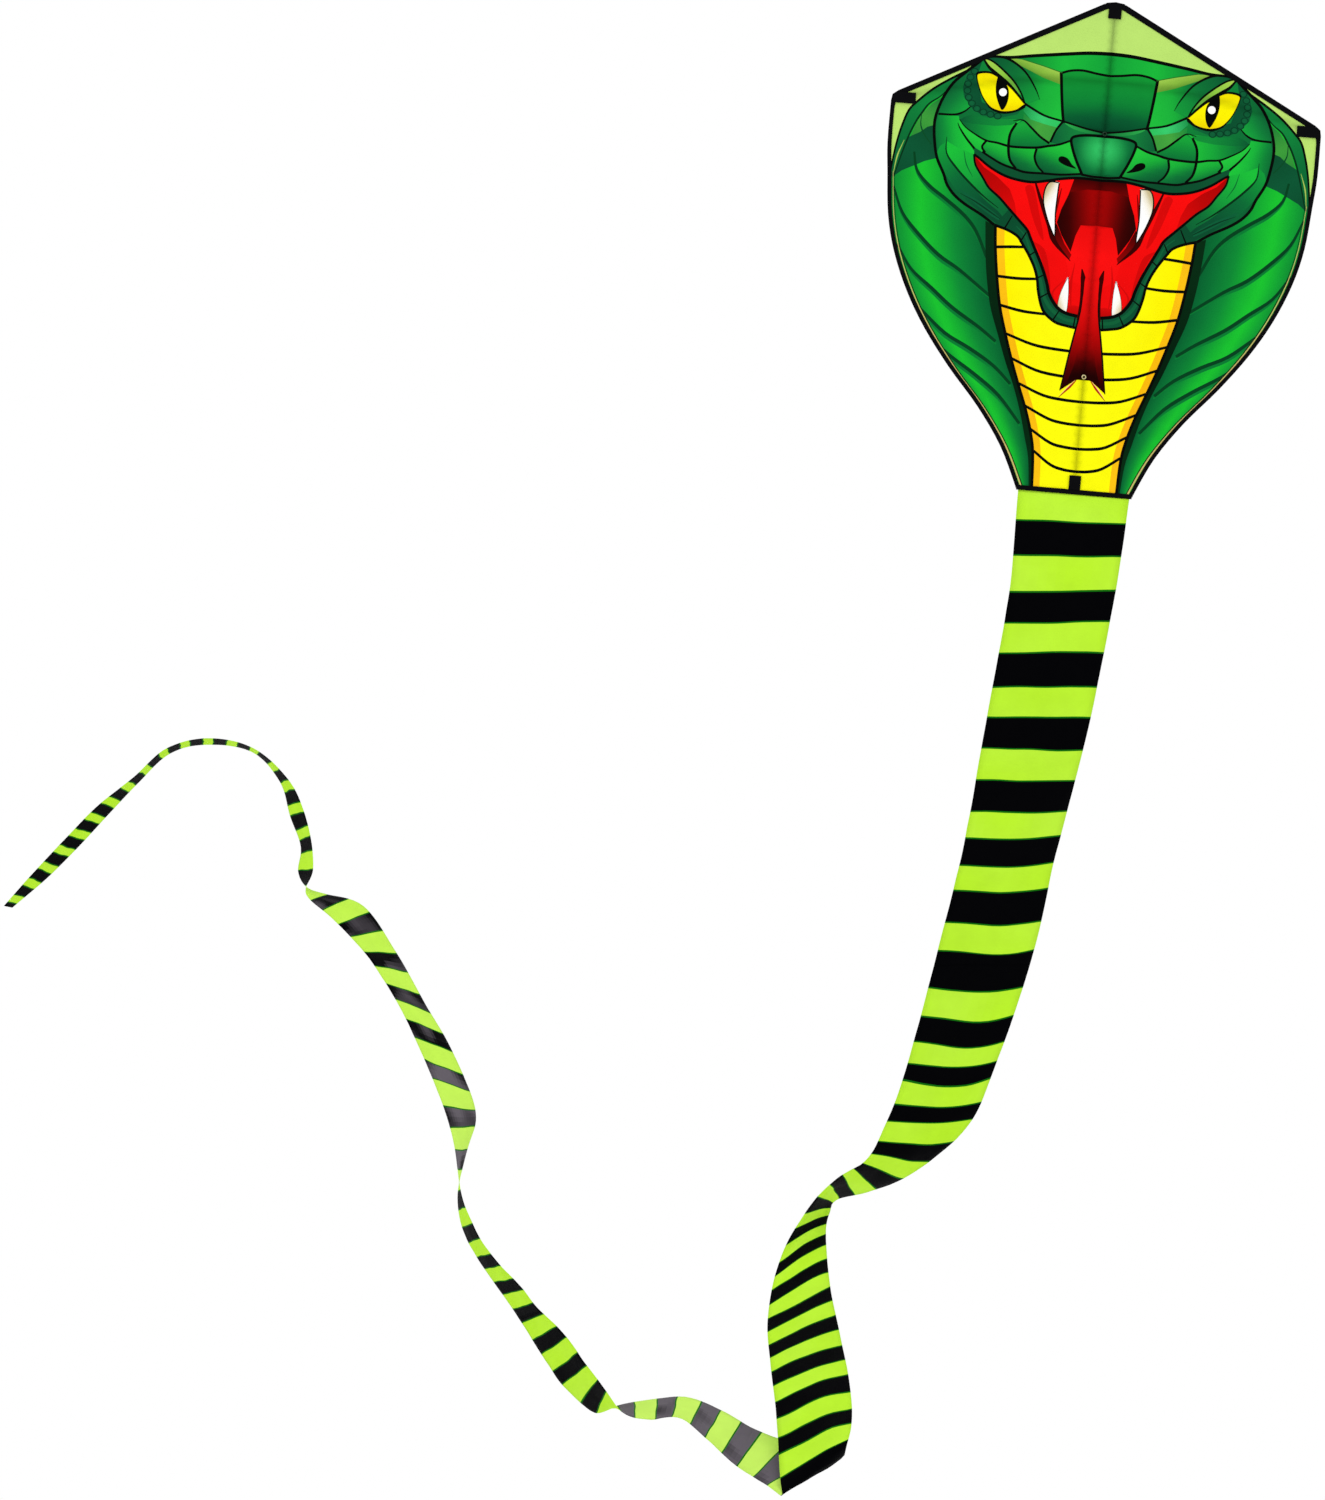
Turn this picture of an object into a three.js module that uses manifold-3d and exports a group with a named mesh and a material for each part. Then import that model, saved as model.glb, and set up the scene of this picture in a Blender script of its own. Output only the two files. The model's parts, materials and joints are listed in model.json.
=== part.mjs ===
// A cobra-head kite with a long striped ribbon tail, in millimetres.
// The sail lies in the XZ plane with its printed front facing -Y, the nose up at +Z and the rods on the
// back. The origin is the upper bridle eyelet, where the flying line holds the kite up.
// Each wing folds forward on a slanting crease beside the spine, and the tail bends between its lengths.

import * as THREE from "three";
import { mergeVertices } from "three/addons/utils/BufferGeometryUtils.js";
import Module from "manifold-3d";

const wasm = await Module();
wasm.setup();

// Driving dimensions
const gap = 0.3;                 // between pieces that touch
const clothThickness = 1.2;
const bindingThickness = 2.4;    // tape folded over the cloth's edge

const noseZ = 216;               // top of the sail
const tipX = 352;                // half the span
const tipRounding = [350.2, 36]; // where the rounded wing tip is halfway round
const shoulderStart = [14, 214]; // where the straight shoulder leaves the rounded nose
const shoulderEnd = [341, 43];
const bottomZ = -590;            // foot of the sail, where the tail begins
const bottomHalf = 95;
const shoulderTape = 9;
const sideTape = 7;
const hemHeight = 8;

const creaseTopX = 16;           // half the width of the fixed middle panel at the nose
const creaseGap = 0.4;           // from the crease line to each edge there

const rodRadius = 2.5;
const rodY = 5.2;                // rods lie behind the sail
const spineTopZ = 206;
const spineFootZ = -580;
const spineJointZ = -190;        // where the two spine rods meet in their ferrule
const sparZ = 85;                // height of the cross spar at the spine
const sparEndX = 338;
const sparRise = 56;             // how far the bowed spar stands above its own ends
const sparStartX = 34;

const noseTapeSize = [21, 25];
const tipTapeSize = [37, 18];
const footTapeSize = [19, 23];
const tapeThickness = 1.4;
const pocketDepth = 8.6;

const fittingSize = [13, 9.4, 34];  // centre fitting's body: across, deep and high
const fittingArm = 23;              // from the spine to the end of each arm
const fittingArmRadius = 4.2;
const vinylStart = 28;              // vinyl sleeve round the root of each spar rod
const vinylEnd = 74;
const vinylWall = 1.3;
const ferruleLength = 44;
const ferruleWall = 0.9;
const keeperHeights = [150, -90, -300, -480];
const keeperSize = [22, 7.8, 18];   // across, deep and high

const lowerEyeletZ = -398;       // the upper eyelet is at the origin
const eyeletRadius = 4.2;
const eyeletHole = 1.9;
const patchRadius = 12;

const tailTopWidth = 182;
const tailEndWidth = 38;

const beyond = 50;               // how far a cutting block reaches past the kite
const deep = 20;                 // how far it reaches in front and behind

// Half of the sail's side edge, from the wing tip down to the foot.
const sideEdge = [
  [tipX, 26], [352, -40], [348, -90], [341, -160], [326, -220], [300, -282],
  [266, -340], [221, -400], [169, -460], [127, -520], [99, -578], [bottomHalf, bottomZ],
];

// The ribbon tail's two edges, from the foot of the sail to the loose end:
// x and z of the first edge, x and z of the second, and how far behind the sail their middle lies.
const tailStations = [
  [-91, -594, 91, -591, 0],
  [-91, -761, 84, -744, 15],
  [-106, -969, 64, -957, 60],
  [-121, -1175, 39, -1158, 120],
  [-148, -1382, 13, -1368, 190],
  [-179, -1582, -30, -1567, 250],
  [-207, -1677, -65, -1666, 270],
  [-233, -1720, -142, -1746, 260],
  [-261, -1738, -220, -1784, 230],
  [-297, -1760, -273, -1796, 185],
  [-343, -1815, -288, -1809, 110],
  [-376, -1885, -296, -1842, 10],
  [-388, -1955, -289, -1905, -110],
  [-382, -2008, -274, -1961, -225],
  [-372, -2061, -261, -2012, -325],
  [-365, -2115, -257, -2059, -405],
  [-359, -2157, -263, -2090, -450],
  [-356, -2173, -268, -2117, -445],
  [-370, -2169, -290, -2116, -425],
  [-397, -2155, -342, -2111, -400],
  [-434, -2136, -400, -2100, -370],
  [-475, -2112, -450, -2085, -335],
  [-517, -2089, -505, -2072, -300],
  [-564, -2099, -562, -2088, -265],
  [-607, -2099, -613, -2105, -230],
  [-636, -2071, -652, -2124, -195],
  [-664, -2047, -702, -2094, -155],
  [-698, -2015, -737, -2060, -110],
  [-750, -1981, -785, -2010, -45],
  [-796, -1946, -830, -1966, 20],
  [-844, -1912, -870, -1930, 75],
  [-879, -1871, -900, -1890, 120],
  [-905, -1821, -913, -1836, 160],
  [-923, -1756, -903, -1763, 200],
  [-939, -1715, -895, -1717, 225],
  [-972, -1653, -909, -1673, 255],
  [-1019, -1574, -955, -1597, 300],
  [-1065, -1507, -1008, -1528, 340],
  [-1117, -1450, -1065, -1450, 380],
  [-1176, -1404, -1129, -1379, 420],
  [-1221, -1374, -1199, -1366, 450],
  [-1232, -1356, -1235, -1357, 470],
  [-1225, -1325, -1254, -1332, 495],
  [-1234, -1277, -1255, -1288, 520],
  [-1254, -1224, -1283, -1234, 550],
  [-1292, -1168, -1311, -1176, 585],
  [-1361, -1122, -1369, -1129, 625],
  [-1446, -1112, -1452, -1123, 665],
  [-1524, -1137, -1524, -1146, 700],
  [-1585, -1197, -1578, -1203, 730],
  [-1648, -1253, -1628, -1261, 760],
  [-1703, -1314, -1679, -1322, 795],
  [-1763, -1384, -1743, -1394, 830],
  [-1818, -1453, -1808, -1457, 860],
];

// The stations where one length of tail ends and the next begins, and the gap there: a wide one where
// the tail bends on a joint, a narrow one where two lengths are sewn together.
const tailCuts = [0, 4, 8, 12, 17, 20, 24, 28, 32, 36, 41, 45, 49, 53];
const tailBends = [0, 8, 17, 24, 32, 41];
const bendGap = 2.5;
const seamGap = 0.4;

const colours = {
  sail: 0x178a35, middle: 0xf2e21c, tape: 0x0b0b0c, rod: 0x1a1a1c,
  fitting: 0x141416, vinyl: 0x202024, eyelet: 0xd9d5b0, patch: 0x151517, tail: 0xa9f02a,
};

const kite = new THREE.Group();

function addPiece(name, geometry, colour, roughness = 0.8, metalness = 0) {
  const material = new THREE.MeshStandardMaterial({ color: colour, roughness, metalness });
  const mesh = new THREE.Mesh(geometry, material);
  mesh.name = name;
  kite.add(mesh);
}

// Solids: joining and cutting

function toSolid(geometry) {
  const bare = geometry.clone();
  bare.deleteAttribute("normal");
  bare.deleteAttribute("uv");
  const merged = mergeVertices(bare, 1e-4);
  const triVerts = new Uint32Array(merged.index.array);
  const vertProperties = merged.attributes.position.array;
  return new wasm.Manifold(new wasm.Mesh({ numProp: 3, vertProperties, triVerts }));
}

function toGeometry(solid) {
  const mesh = solid.getMesh();
  const geometry = new THREE.BufferGeometry();
  geometry.setAttribute("position", new THREE.BufferAttribute(mesh.vertProperties, 3));
  geometry.setIndex(new THREE.BufferAttribute(mesh.triVerts, 1));
  geometry.computeVertexNormals();
  return geometry;
}

function mirrored(geometry) {
  const copy = (geometry.index ? geometry.toNonIndexed() : geometry.clone()).scale(-1, 1, 1);
  const position = copy.attributes.position;
  for (let i = 0; i < position.count; i += 3) {
    const second = new THREE.Vector3().fromBufferAttribute(position, i + 1);
    const third = new THREE.Vector3().fromBufferAttribute(position, i + 2);
    position.setXYZ(i + 1, third.x, third.y, third.z);
    position.setXYZ(i + 2, second.x, second.y, second.z);
  }
  copy.computeVertexNormals();
  return copy;
}

function circlePoints(x, z, radius, sides = 24) {
  const points = [];
  for (let i = 0; i < sides; i++) {
    const angle = (2 * Math.PI * i) / sides;
    points.push([x + radius * Math.cos(angle), z + radius * Math.sin(angle)]);
  }
  return points;
}

// A flat panel standing in the XZ plane, between two depths.
function panel(points, front, back) {
  const shape = new THREE.Shape(points.map(([x, z]) => new THREE.Vector2(x, z)));
  const settings = { depth: back - front, bevelEnabled: false };
  return new THREE.ExtrudeGeometry(shape, settings).rotateX(Math.PI / 2).translate(0, back, 0);
}

function block(x0, x1, y0, y1, z0, z1) {
  const box = new THREE.BoxGeometry(x1 - x0, y1 - y0, z1 - z0);
  return box.translate((x0 + x1) / 2, (y0 + y1) / 2, (z0 + z1) / 2);
}

function uprightCylinder(radius, z0, z1, y, sides = 16) {
  const cylinder = new THREE.CylinderGeometry(radius, radius, z1 - z0, sides);
  return cylinder.rotateX(Math.PI / 2).translate(0, y, (z0 + z1) / 2);
}

// The sail's outline

const creaseX = (z) => creaseTopX + ((noseZ - z) / (noseZ - bottomZ)) * (bottomHalf - creaseTopX);

// The right half of the outline, drawn in by a distance from the shoulder, the side and the foot.
function halfOutline(shoulderInset, sideInset, footInset) {
  const slope = (shoulderEnd[1] - shoulderStart[1]) / (shoulderEnd[0] - shoulderStart[0]);
  const drop = shoulderInset * Math.hypot(1, slope);
  const edge = new THREE.SplineCurve(sideEdge.map(([x, z]) => new THREE.Vector2(x, z)));
  const steps = 44;
  const footZ = bottomZ + footInset;
  const noseX = shoulderStart[0] - shoulderInset / 4;
  const shoulderX = shoulderEnd[0] - sideInset;
  const shoulderZ = shoulderStart[1] + slope * (shoulderX - shoulderStart[0]) - drop;
  const points = [[0, noseZ - drop], [noseX, shoulderStart[1] - drop], [shoulderX, shoulderZ]];
  points.push([tipRounding[0] - sideInset, tipRounding[1] - shoulderInset]);
  const sideTop = tipRounding[1] - shoulderInset - 3;
  for (let i = 0; i <= steps; i++) {
    const point = edge.getPoint(i / steps);
    const along = edge.getTangent(i / steps);
    const x = point.x + along.y * sideInset;
    const z = point.y - along.x * sideInset;
    if (z > footZ + 1 && z < sideTop) points.push([x, z]);
  }
  const [lastX, lastZ] = points.at(-1);
  const footSlope = 0.4;
  points.push([lastX - footSlope * (lastZ - footZ), footZ]);
  return points;
}

function wholeOutline(half) {
  const left = half.slice(1).reverse().map(([x, z]) => [-x, z]);
  return [...half, ...left];
}

const outerOutline = wholeOutline(halfOutline(0, 0, 0));
const clothOutline = wholeOutline(halfOutline(shoulderTape, sideTape, hemHeight));
const tapeInside = wholeOutline(halfOutline(shoulderTape - gap, sideTape - gap, hemHeight - gap));

// The space over the fixed middle panel, widened or narrowed by the gap at each crease.
function middleWedge(side) {
  const topZ = noseZ + beyond;
  const footZ = bottomZ - beyond;
  const top = creaseX(topZ) + side;
  const foot = creaseX(footZ) + side;
  return toSolid(panel([[-top, topZ], [-foot, footZ], [foot, footZ], [top, topZ]], -deep, deep));
}

const rightHalf = toSolid(block(0, tipX + beyond, -deep, deep, bottomZ - beyond, noseZ + beyond));
const inMiddle = middleWedge(-creaseGap);
const besideMiddle = rightHalf.subtract(middleWedge(creaseGap));

const clothHalf = clothThickness / 2;
const tapeHalf = bindingThickness / 2;

function eyeletBore(z) {
  const bore = new THREE.CylinderGeometry(eyeletHole, eyeletHole, 2 * deep, 24);
  return toSolid(bore.translate(0, 0, z));
}

const uncutCloth = toSolid(panel(clothOutline, -clothHalf, clothHalf));
const cloth = uncutCloth.subtract(eyeletBore(0)).subtract(eyeletBore(lowerEyeletZ));
const ring = toSolid(panel(outerOutline, -tapeHalf, tapeHalf)).subtract(
  toSolid(panel(tapeInside, -deep, deep)),
);

const tipSplitZ = 36;            // where the shoulder tape ends and the side tape begins
const wide = tipX + beyond;
const highSpace = toSolid(block(-wide, wide, -deep, deep, tipSplitZ, noseZ + beyond));
const lowSpace = toSolid(block(-wide, wide, -deep, deep, bottomZ - beyond, tipSplitZ - gap));

// Cloth and edge tape

function addSail() {
  const wing = toGeometry(cloth.intersect(besideMiddle));
  addPiece("sail_middle", toGeometry(cloth.intersect(inMiddle)), colours.middle);
  addPiece("sail_right", wing, colours.sail);
  addPiece("sail_left", mirrored(wing), colours.sail);
}

function addEdgeTape() {
  const wingRing = ring.intersect(besideMiddle);
  const shoulder = toGeometry(wingRing.intersect(highSpace));
  const side = toGeometry(wingRing.intersect(lowSpace));
  addPiece("shoulder_tape_right", shoulder, colours.tape);
  addPiece("shoulder_tape_left", mirrored(shoulder), colours.tape);
  addPiece("side_tape_right", side, colours.tape);
  addPiece("side_tape_left", mirrored(side), colours.tape);
  addPiece("nose_tape", toGeometry(ring.intersect(inMiddle).intersect(highSpace)), colours.tape);
  addPiece("foot_hem", toGeometry(ring.intersect(inMiddle).intersect(lowSpace)), colours.tape);
}

// Webbing squares on the front, and the pockets behind them that hold the rod ends

const frontOfTape = -tapeHalf - gap;
const backOfTape = tapeHalf + gap;

function frontSquare(x, z, [width, height]) {
  return block(
    x - width / 2, x + width / 2, frontOfTape - tapeThickness, frontOfTape, z - height / 2, z + height / 2,
  );
}

function addSpinePocket(name, z, size, [holeFoot, holeTop]) {
  const [width, height] = size;
  const body = block(
    -width / 2, width / 2, backOfTape, backOfTape + pocketDepth, z - height / 2, z + height / 2,
  );
  const hole = uprightCylinder(rodRadius + gap, holeFoot, holeTop, rodY);
  addPiece(name + "_pocket", toGeometry(toSolid(body).subtract(toSolid(hole))), colours.tape, 0.85);
  addPiece(name + "_square", frontSquare(0, z, size), colours.tape, 0.85);
}

const tipTapeX = tipX - 3 - tipTapeSize[0] / 2;
const withinOutline = toSolid(panel(wholeOutline(halfOutline(1, 1, 1)), -deep, deep));
const sparHeight = (x) => sparZ - sparRise * (x / sparEndX) ** 2;

function sparTube(radius, startX, endX, steps, sides) {
  const points = [];
  for (let i = 0; i <= steps; i++) {
    const x = startX + ((endX - startX) * i) / steps;
    points.push(new THREE.Vector3(x, rodY, sparHeight(x)));
  }
  const round = new THREE.Shape(circlePoints(0, 0, radius, sides).map(([u, v]) => new THREE.Vector2(u, v)));
  const path = new THREE.CatmullRomCurve3(points);
  return new THREE.ExtrudeGeometry(round, { steps, bevelEnabled: false, extrudePath: path });
}

function addTipPockets() {
  const [width, height] = tipTapeSize;
  const z = sparHeight(tipTapeX);
  const body = block(
    tipTapeX - width / 2, tipTapeX + width / 2, backOfTape, backOfTape + pocketDepth,
    z - height / 2, z + height / 2,
  );
  const hole = sparTube(rodRadius + gap, tipTapeX - width, sparEndX + 1, 6, 16);
  const pocket = toGeometry(toSolid(body).intersect(withinOutline).subtract(toSolid(hole)));
  const square = toGeometry(toSolid(frontSquare(tipTapeX, z, tipTapeSize)).intersect(withinOutline));
  addPiece("tip_pocket_right", pocket, colours.tape, 0.85);
  addPiece("tip_pocket_left", mirrored(pocket), colours.tape, 0.85);
  addPiece("tip_square_right", square, colours.tape, 0.85);
  addPiece("tip_square_left", mirrored(square), colours.tape, 0.85);
}

// Rods, ferrule and fittings

function addSpine() {
  const half = ferruleLength / 2;
  const bore = rodRadius + gap / 2;
  const outside = bore + ferruleWall;
  const upper = uprightCylinder(rodRadius, spineJointZ + gap, spineTopZ, rodY);
  const lower = uprightCylinder(rodRadius, spineFootZ, spineJointZ - gap, rodY);
  addPiece("spine_rod_upper", upper, colours.rod, 0.4);
  addPiece("spine_rod_lower", lower, colours.rod, 0.4);
  const profile = [[bore, -half], [outside, -half], [outside, half], [bore, half], [bore, -half]];
  const sleeve = new THREE.LatheGeometry(profile.map(([r, z]) => new THREE.Vector2(r, z)), 20);
  sleeve.rotateX(Math.PI / 2).translate(0, rodY, spineJointZ);
  addPiece("spine_ferrule", toGeometry(toSolid(sleeve)), 0xb9bcc0, 0.35, 0.9);
}

function addCentreFitting() {
  const [width, depth, height] = fittingSize;
  const front = clothThickness;
  const body = block(
    -width / 2, width / 2, front, front + depth, sparZ - height / 2, sparZ + height / 2,
  );
  const arm = new THREE.CylinderGeometry(fittingArmRadius, fittingArmRadius, 2 * fittingArm, 18);
  arm.rotateZ(Math.PI / 2).translate(0, rodY + gap, sparZ);
  const bore = uprightCylinder(rodRadius + gap / 2, sparZ - height, sparZ + height, rodY);
  const solid = toSolid(body).add(toSolid(arm)).subtract(toSolid(bore));
  addPiece("centre_fitting", toGeometry(solid), colours.fitting, 0.5);
}

function addCrossSpar() {
  const overrun = 8;
  const rod = sparTube(rodRadius, sparStartX, sparEndX, 16, 12);
  const outside = sparTube(rodRadius + gap + vinylWall, vinylStart, vinylEnd, 4, 16);
  const inside = sparTube(rodRadius + gap, vinylStart - overrun, vinylEnd + overrun, 6, 16);
  const sleeve = toGeometry(toSolid(outside).subtract(toSolid(inside)));
  addPiece("spar_rod_right", rod, colours.rod, 0.4);
  addPiece("spar_rod_left", mirrored(rod), colours.rod, 0.4);
  addPiece("spar_sleeve_right", sleeve, colours.vinyl, 0.6);
  addPiece("spar_sleeve_left", mirrored(sleeve), colours.vinyl, 0.6);
}

// Webbing loops sewn to the back of the sail, which keep the spine close to it.
function addSpineKeepers() {
  const [width, depth, height] = keeperSize;
  const front = clothHalf + gap;
  const wingThickness = 1.5;
  const archHalf = rodRadius + gap + 1.8;
  keeperHeights.forEach((z, index) => {
    const wings = block(-width / 2, width / 2, front, front + wingThickness, z - height / 2, z + height / 2);
    const arch = block(-archHalf, archHalf, front, front + depth, z - height / 2, z + height / 2);
    const tunnel = uprightCylinder(rodRadius + gap, z - height, z + height, rodY);
    const loop = toSolid(wings).add(toSolid(arch)).subtract(toSolid(tunnel));
    addPiece(`spine_keeper_${index + 1}`, toGeometry(loop), colours.tape, 0.85);
  });
}

// The two bridle points: an eyelet on the front and a stiff patch behind the cloth.
function addBridlePoints() {
  const patchThickness = 1;
  const profile = [
    [eyeletHole, 0], [eyeletRadius, 0], [eyeletRadius - 0.5, 1.3], [eyeletHole + 0.6, 1.7],
    [eyeletHole, 1.1], [eyeletHole, 0],
  ];
  for (const [name, z] of [["upper", 0], ["lower", lowerEyeletZ]]) {
    const eyelet = new THREE.LatheGeometry(profile.map(([r, h]) => new THREE.Vector2(r, h)), 24);
    eyelet.rotateX(Math.PI).translate(0, -clothHalf - gap, z);
    addPiece(`${name}_bridle_eyelet`, toGeometry(toSolid(eyelet)), colours.eyelet, 0.3, 0.9);
    const back = clothHalf + gap;
    const disc = panel(circlePoints(0, z, patchRadius), back, back + patchThickness);
    const patch = toSolid(disc).subtract(eyeletBore(z));
    addPiece(`${name}_bridle_patch`, toGeometry(patch), colours.patch, 0.85);
  }
}

// The ribbon tail

const tailMiddles = tailStations.map(([firstX, firstZ, secondX, secondZ, middleY]) => {
  return new THREE.Vector3((firstX + secondX) / 2, middleY, (firstZ + secondZ) / 2);
});
const lengthSoFar = [0];
for (let i = 1; i < tailMiddles.length; i++) {
  lengthSoFar.push(lengthSoFar[i - 1] + tailMiddles[i].distanceTo(tailMiddles[i - 1]));
}
const tailLength = lengthSoFar.at(-1);

// Each edge stands nearer or farther than the middle by what the ribbon's true width leaves.
function edgePoint(station, second) {
  const [ax, az, bx, bz, y] = tailStations[station];
  const share = lengthSoFar[station] / tailLength;
  const width = tailTopWidth + (tailEndWidth - tailTopWidth) * share;
  const seen = Math.hypot(bx - ax, bz - az);
  const lean = Math.sqrt(Math.max(width ** 2 - seen ** 2, 0)) / 2;
  return second ? new THREE.Vector3(bx, y + lean, bz) : new THREE.Vector3(ax, y - lean, az);
}

const stationNumbers = tailStations.map((_, index) => index);
const firstEdge = new THREE.CatmullRomCurve3(stationNumbers.map((i) => edgePoint(i, false)));
const secondEdge = new THREE.CatmullRomCurve3(stationNumbers.map((i) => edgePoint(i, true)));
firstEdge.curveType = "catmullrom";
secondEdge.curveType = "catmullrom";

function tailRow(station) {
  const last = tailStations.length - 1;
  const share = THREE.MathUtils.clamp(station / last, 0, 1);
  const a = firstEdge.getPoint(share);
  const b = secondEdge.getPoint(share);
  const nudge = 0.001;
  const before = Math.max(share - nudge, 0);
  const after = Math.min(share + nudge, 1);
  const along = firstEdge.getPoint(after).add(secondEdge.getPoint(after));
  along.sub(firstEdge.getPoint(before)).sub(secondEdge.getPoint(before));
  const normal = along.cross(b.clone().sub(a)).normalize().multiplyScalar(clothThickness / 2);
  return [
    a.clone().add(normal), b.clone().add(normal), b.clone().sub(normal), a.clone().sub(normal),
  ];
}

// A closed ribbon between two stations, four corners to a row.
function ribbon(start, end) {
  const rowsPerStation = 4;
  const count = Math.max(2, Math.round((end - start) * rowsPerStation));
  const corners = [];
  for (let i = 0; i <= count; i++) corners.push(...tailRow(start + ((end - start) * i) / count));
  const faces = [0, 1, 2, 0, 2, 3];
  for (let i = 0; i < count; i++) {
    for (let k = 0; k < 4; k++) {
      const here = 4 * i + k;
      const beside = 4 * i + ((k + 1) % 4);
      const split = k === 2;
      if (split) faces.push(here, here + 4, beside, beside, here + 4, beside + 4);
      else faces.push(here, here + 4, beside + 4, here, beside + 4, beside);
    }
  }
  const top = 4 * count;
  faces.push(top, top + 2, top + 1, top, top + 3, top + 2);
  const geometry = new THREE.BufferGeometry().setFromPoints(corners);
  geometry.setIndex(faces);
  return geometry;
}

function addTail() {
  const stationLength = (i) => lengthSoFar[Math.min(i + 1, tailStations.length - 1)] - lengthSoFar[i];
  for (let i = 0; i < tailCuts.length - 1; i++) {
    const isFirst = i === 0;
    const isLast = i === tailCuts.length - 2;
    const startGap = tailBends.includes(tailCuts[i]) ? bendGap : seamGap;
    const endGap = tailBends.includes(tailCuts[i + 1]) ? bendGap : seamGap;
    const start = tailCuts[i] + (isFirst ? 0 : startGap / stationLength(tailCuts[i]));
    const end = tailCuts[i + 1] - (isLast ? 0 : endGap / stationLength(tailCuts[i + 1] - 1));
    const geometry = ribbon(start, end);
    addPiece(`tail_length_${String(i + 1).padStart(2, "0")}`, geometry, colours.tail, 0.75);
  }
}

addSail();
addEdgeTape();
addSpinePocket("nose", 201, noseTapeSize, [150, spineTopZ + 1]);
addSpinePocket("foot", -571, footTapeSize, [spineFootZ - 1, -540]);
addTipPockets();
addSpine();
addCentreFitting();
addCrossSpar();
addSpineKeepers();
addBridlePoints();
addTail();

export default kite;
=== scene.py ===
"""A cobra-head kite with a printed sail, black edge tape, glass-fibre rods and a long striped tail."""

import json
import math

import bpy
import numpy as np
from bpy.props import FloatProperty, FloatVectorProperty, IntProperty, PointerProperty
from mathutils import Matrix, Vector, noise
from mathutils.geometry import delaunay_2d_cdt


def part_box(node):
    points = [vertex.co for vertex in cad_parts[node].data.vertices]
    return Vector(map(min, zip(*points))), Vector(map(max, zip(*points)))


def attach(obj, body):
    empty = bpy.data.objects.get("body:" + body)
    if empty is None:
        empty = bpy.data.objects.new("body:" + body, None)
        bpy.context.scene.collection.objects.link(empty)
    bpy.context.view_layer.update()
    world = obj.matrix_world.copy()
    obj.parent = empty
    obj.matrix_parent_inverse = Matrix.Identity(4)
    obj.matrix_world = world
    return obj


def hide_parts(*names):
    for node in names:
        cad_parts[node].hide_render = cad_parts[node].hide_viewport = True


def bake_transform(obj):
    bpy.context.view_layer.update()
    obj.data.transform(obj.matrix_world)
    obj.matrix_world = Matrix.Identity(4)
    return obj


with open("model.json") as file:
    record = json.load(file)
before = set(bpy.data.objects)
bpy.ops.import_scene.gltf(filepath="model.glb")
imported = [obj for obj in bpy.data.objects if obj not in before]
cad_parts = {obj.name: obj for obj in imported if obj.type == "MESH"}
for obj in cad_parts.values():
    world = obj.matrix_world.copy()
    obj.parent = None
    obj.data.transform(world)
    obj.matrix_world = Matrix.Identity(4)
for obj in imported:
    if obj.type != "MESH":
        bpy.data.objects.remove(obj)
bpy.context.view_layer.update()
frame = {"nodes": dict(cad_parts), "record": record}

bl_info = {
    "name": "Cobra kite",
    "version": (1, 0, 0),
    "blender": (4, 5, 0),
    "location": "View3D > Sidebar > Kite",
    "description": "Builds a cobra-head kite with its printed sail, rods, tapes and striped tail",
    "category": "Add Mesh",
}

MM = 0.001
HOOD_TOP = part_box("nose_tape")[1].z / MM
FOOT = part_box("foot_hem")[0].z / MM
SPAR_TOP = (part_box("centre_fitting")[0].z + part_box("centre_fitting")[1].z) / 2 / MM
SPAR_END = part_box("spar_rod_right")[1].x / MM
SPAR_DROP = SPAR_TOP - (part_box("tip_pocket_right")[0].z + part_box("tip_pocket_right")[1].z) / 2 / MM
ROD_Y = (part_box("spine_rod_upper")[0].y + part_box("spine_rod_upper")[1].y) / 2 / MM


# ---------------------------------------------------------------------------------------------
# Sizes and colours that a user would change


class SailSettings(bpy.types.PropertyGroup):
    """Sizes of the printed sail."""

    grid: FloatProperty(
        name="Cloth grid", description="Spacing of the cloth's own mesh points",
        default=7.5 * MM, min=0.003, unit="LENGTH",
    )
    thickness: FloatProperty(
        name="Cloth thickness", description="Thickness of the ripstop cloth",
        default=0.4 * MM, min=0.0001, unit="LENGTH",
    )
    belly: FloatProperty(
        name="Belly", description="How far the wind pushes each panel back between its rods",
        default=9 * MM, min=0.0, unit="LENGTH",
    )
    # Painted shadow of the rods: how much the print is darkened along the spine and the spar.
    rod_shade: FloatProperty(
        name="Rod shade", description="How dark the rods show through the cloth",
        default=0.34, min=0.0, max=1.0, subtype="FACTOR",
    )
    stitch_length: FloatProperty(
        name="Stitch length", description="Length of one stitch beside the edge tape",
        default=3.2 * MM, min=0.001, unit="LENGTH",
    )
    stitch_gap: FloatProperty(
        name="Stitch gap", description="Space between two stitches",
        default=1.6 * MM, min=0.0005, unit="LENGTH",
    )


class TailSettings(bpy.types.PropertyGroup):
    """Sizes of the ribbon tail and its printed bands."""

    root_width: FloatProperty(
        name="Root width", description="Width of the tail where it is sewn to the foot",
        default=182 * MM, min=0.01, unit="LENGTH",
    )
    end_width: FloatProperty(
        name="End width", description="Width of the tail at its loose end",
        default=38 * MM, min=0.005, unit="LENGTH",
    )
    ripple: FloatProperty(
        name="Ripple", description="Height of the soft waves across the tail",
        default=3.5 * MM, min=0.0, unit="LENGTH",
    )
    columns: IntProperty(
        name="Columns", description="Mesh columns across the tail", default=12, min=4, max=40,
    )


def colour_property(name, description, red, green, blue):
    return FloatVectorProperty(
        name=name, description=description, subtype="COLOR", size=3, min=0.0, max=1.0,
        default=(red / 255, green / 255, blue / 255),
    )


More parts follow.
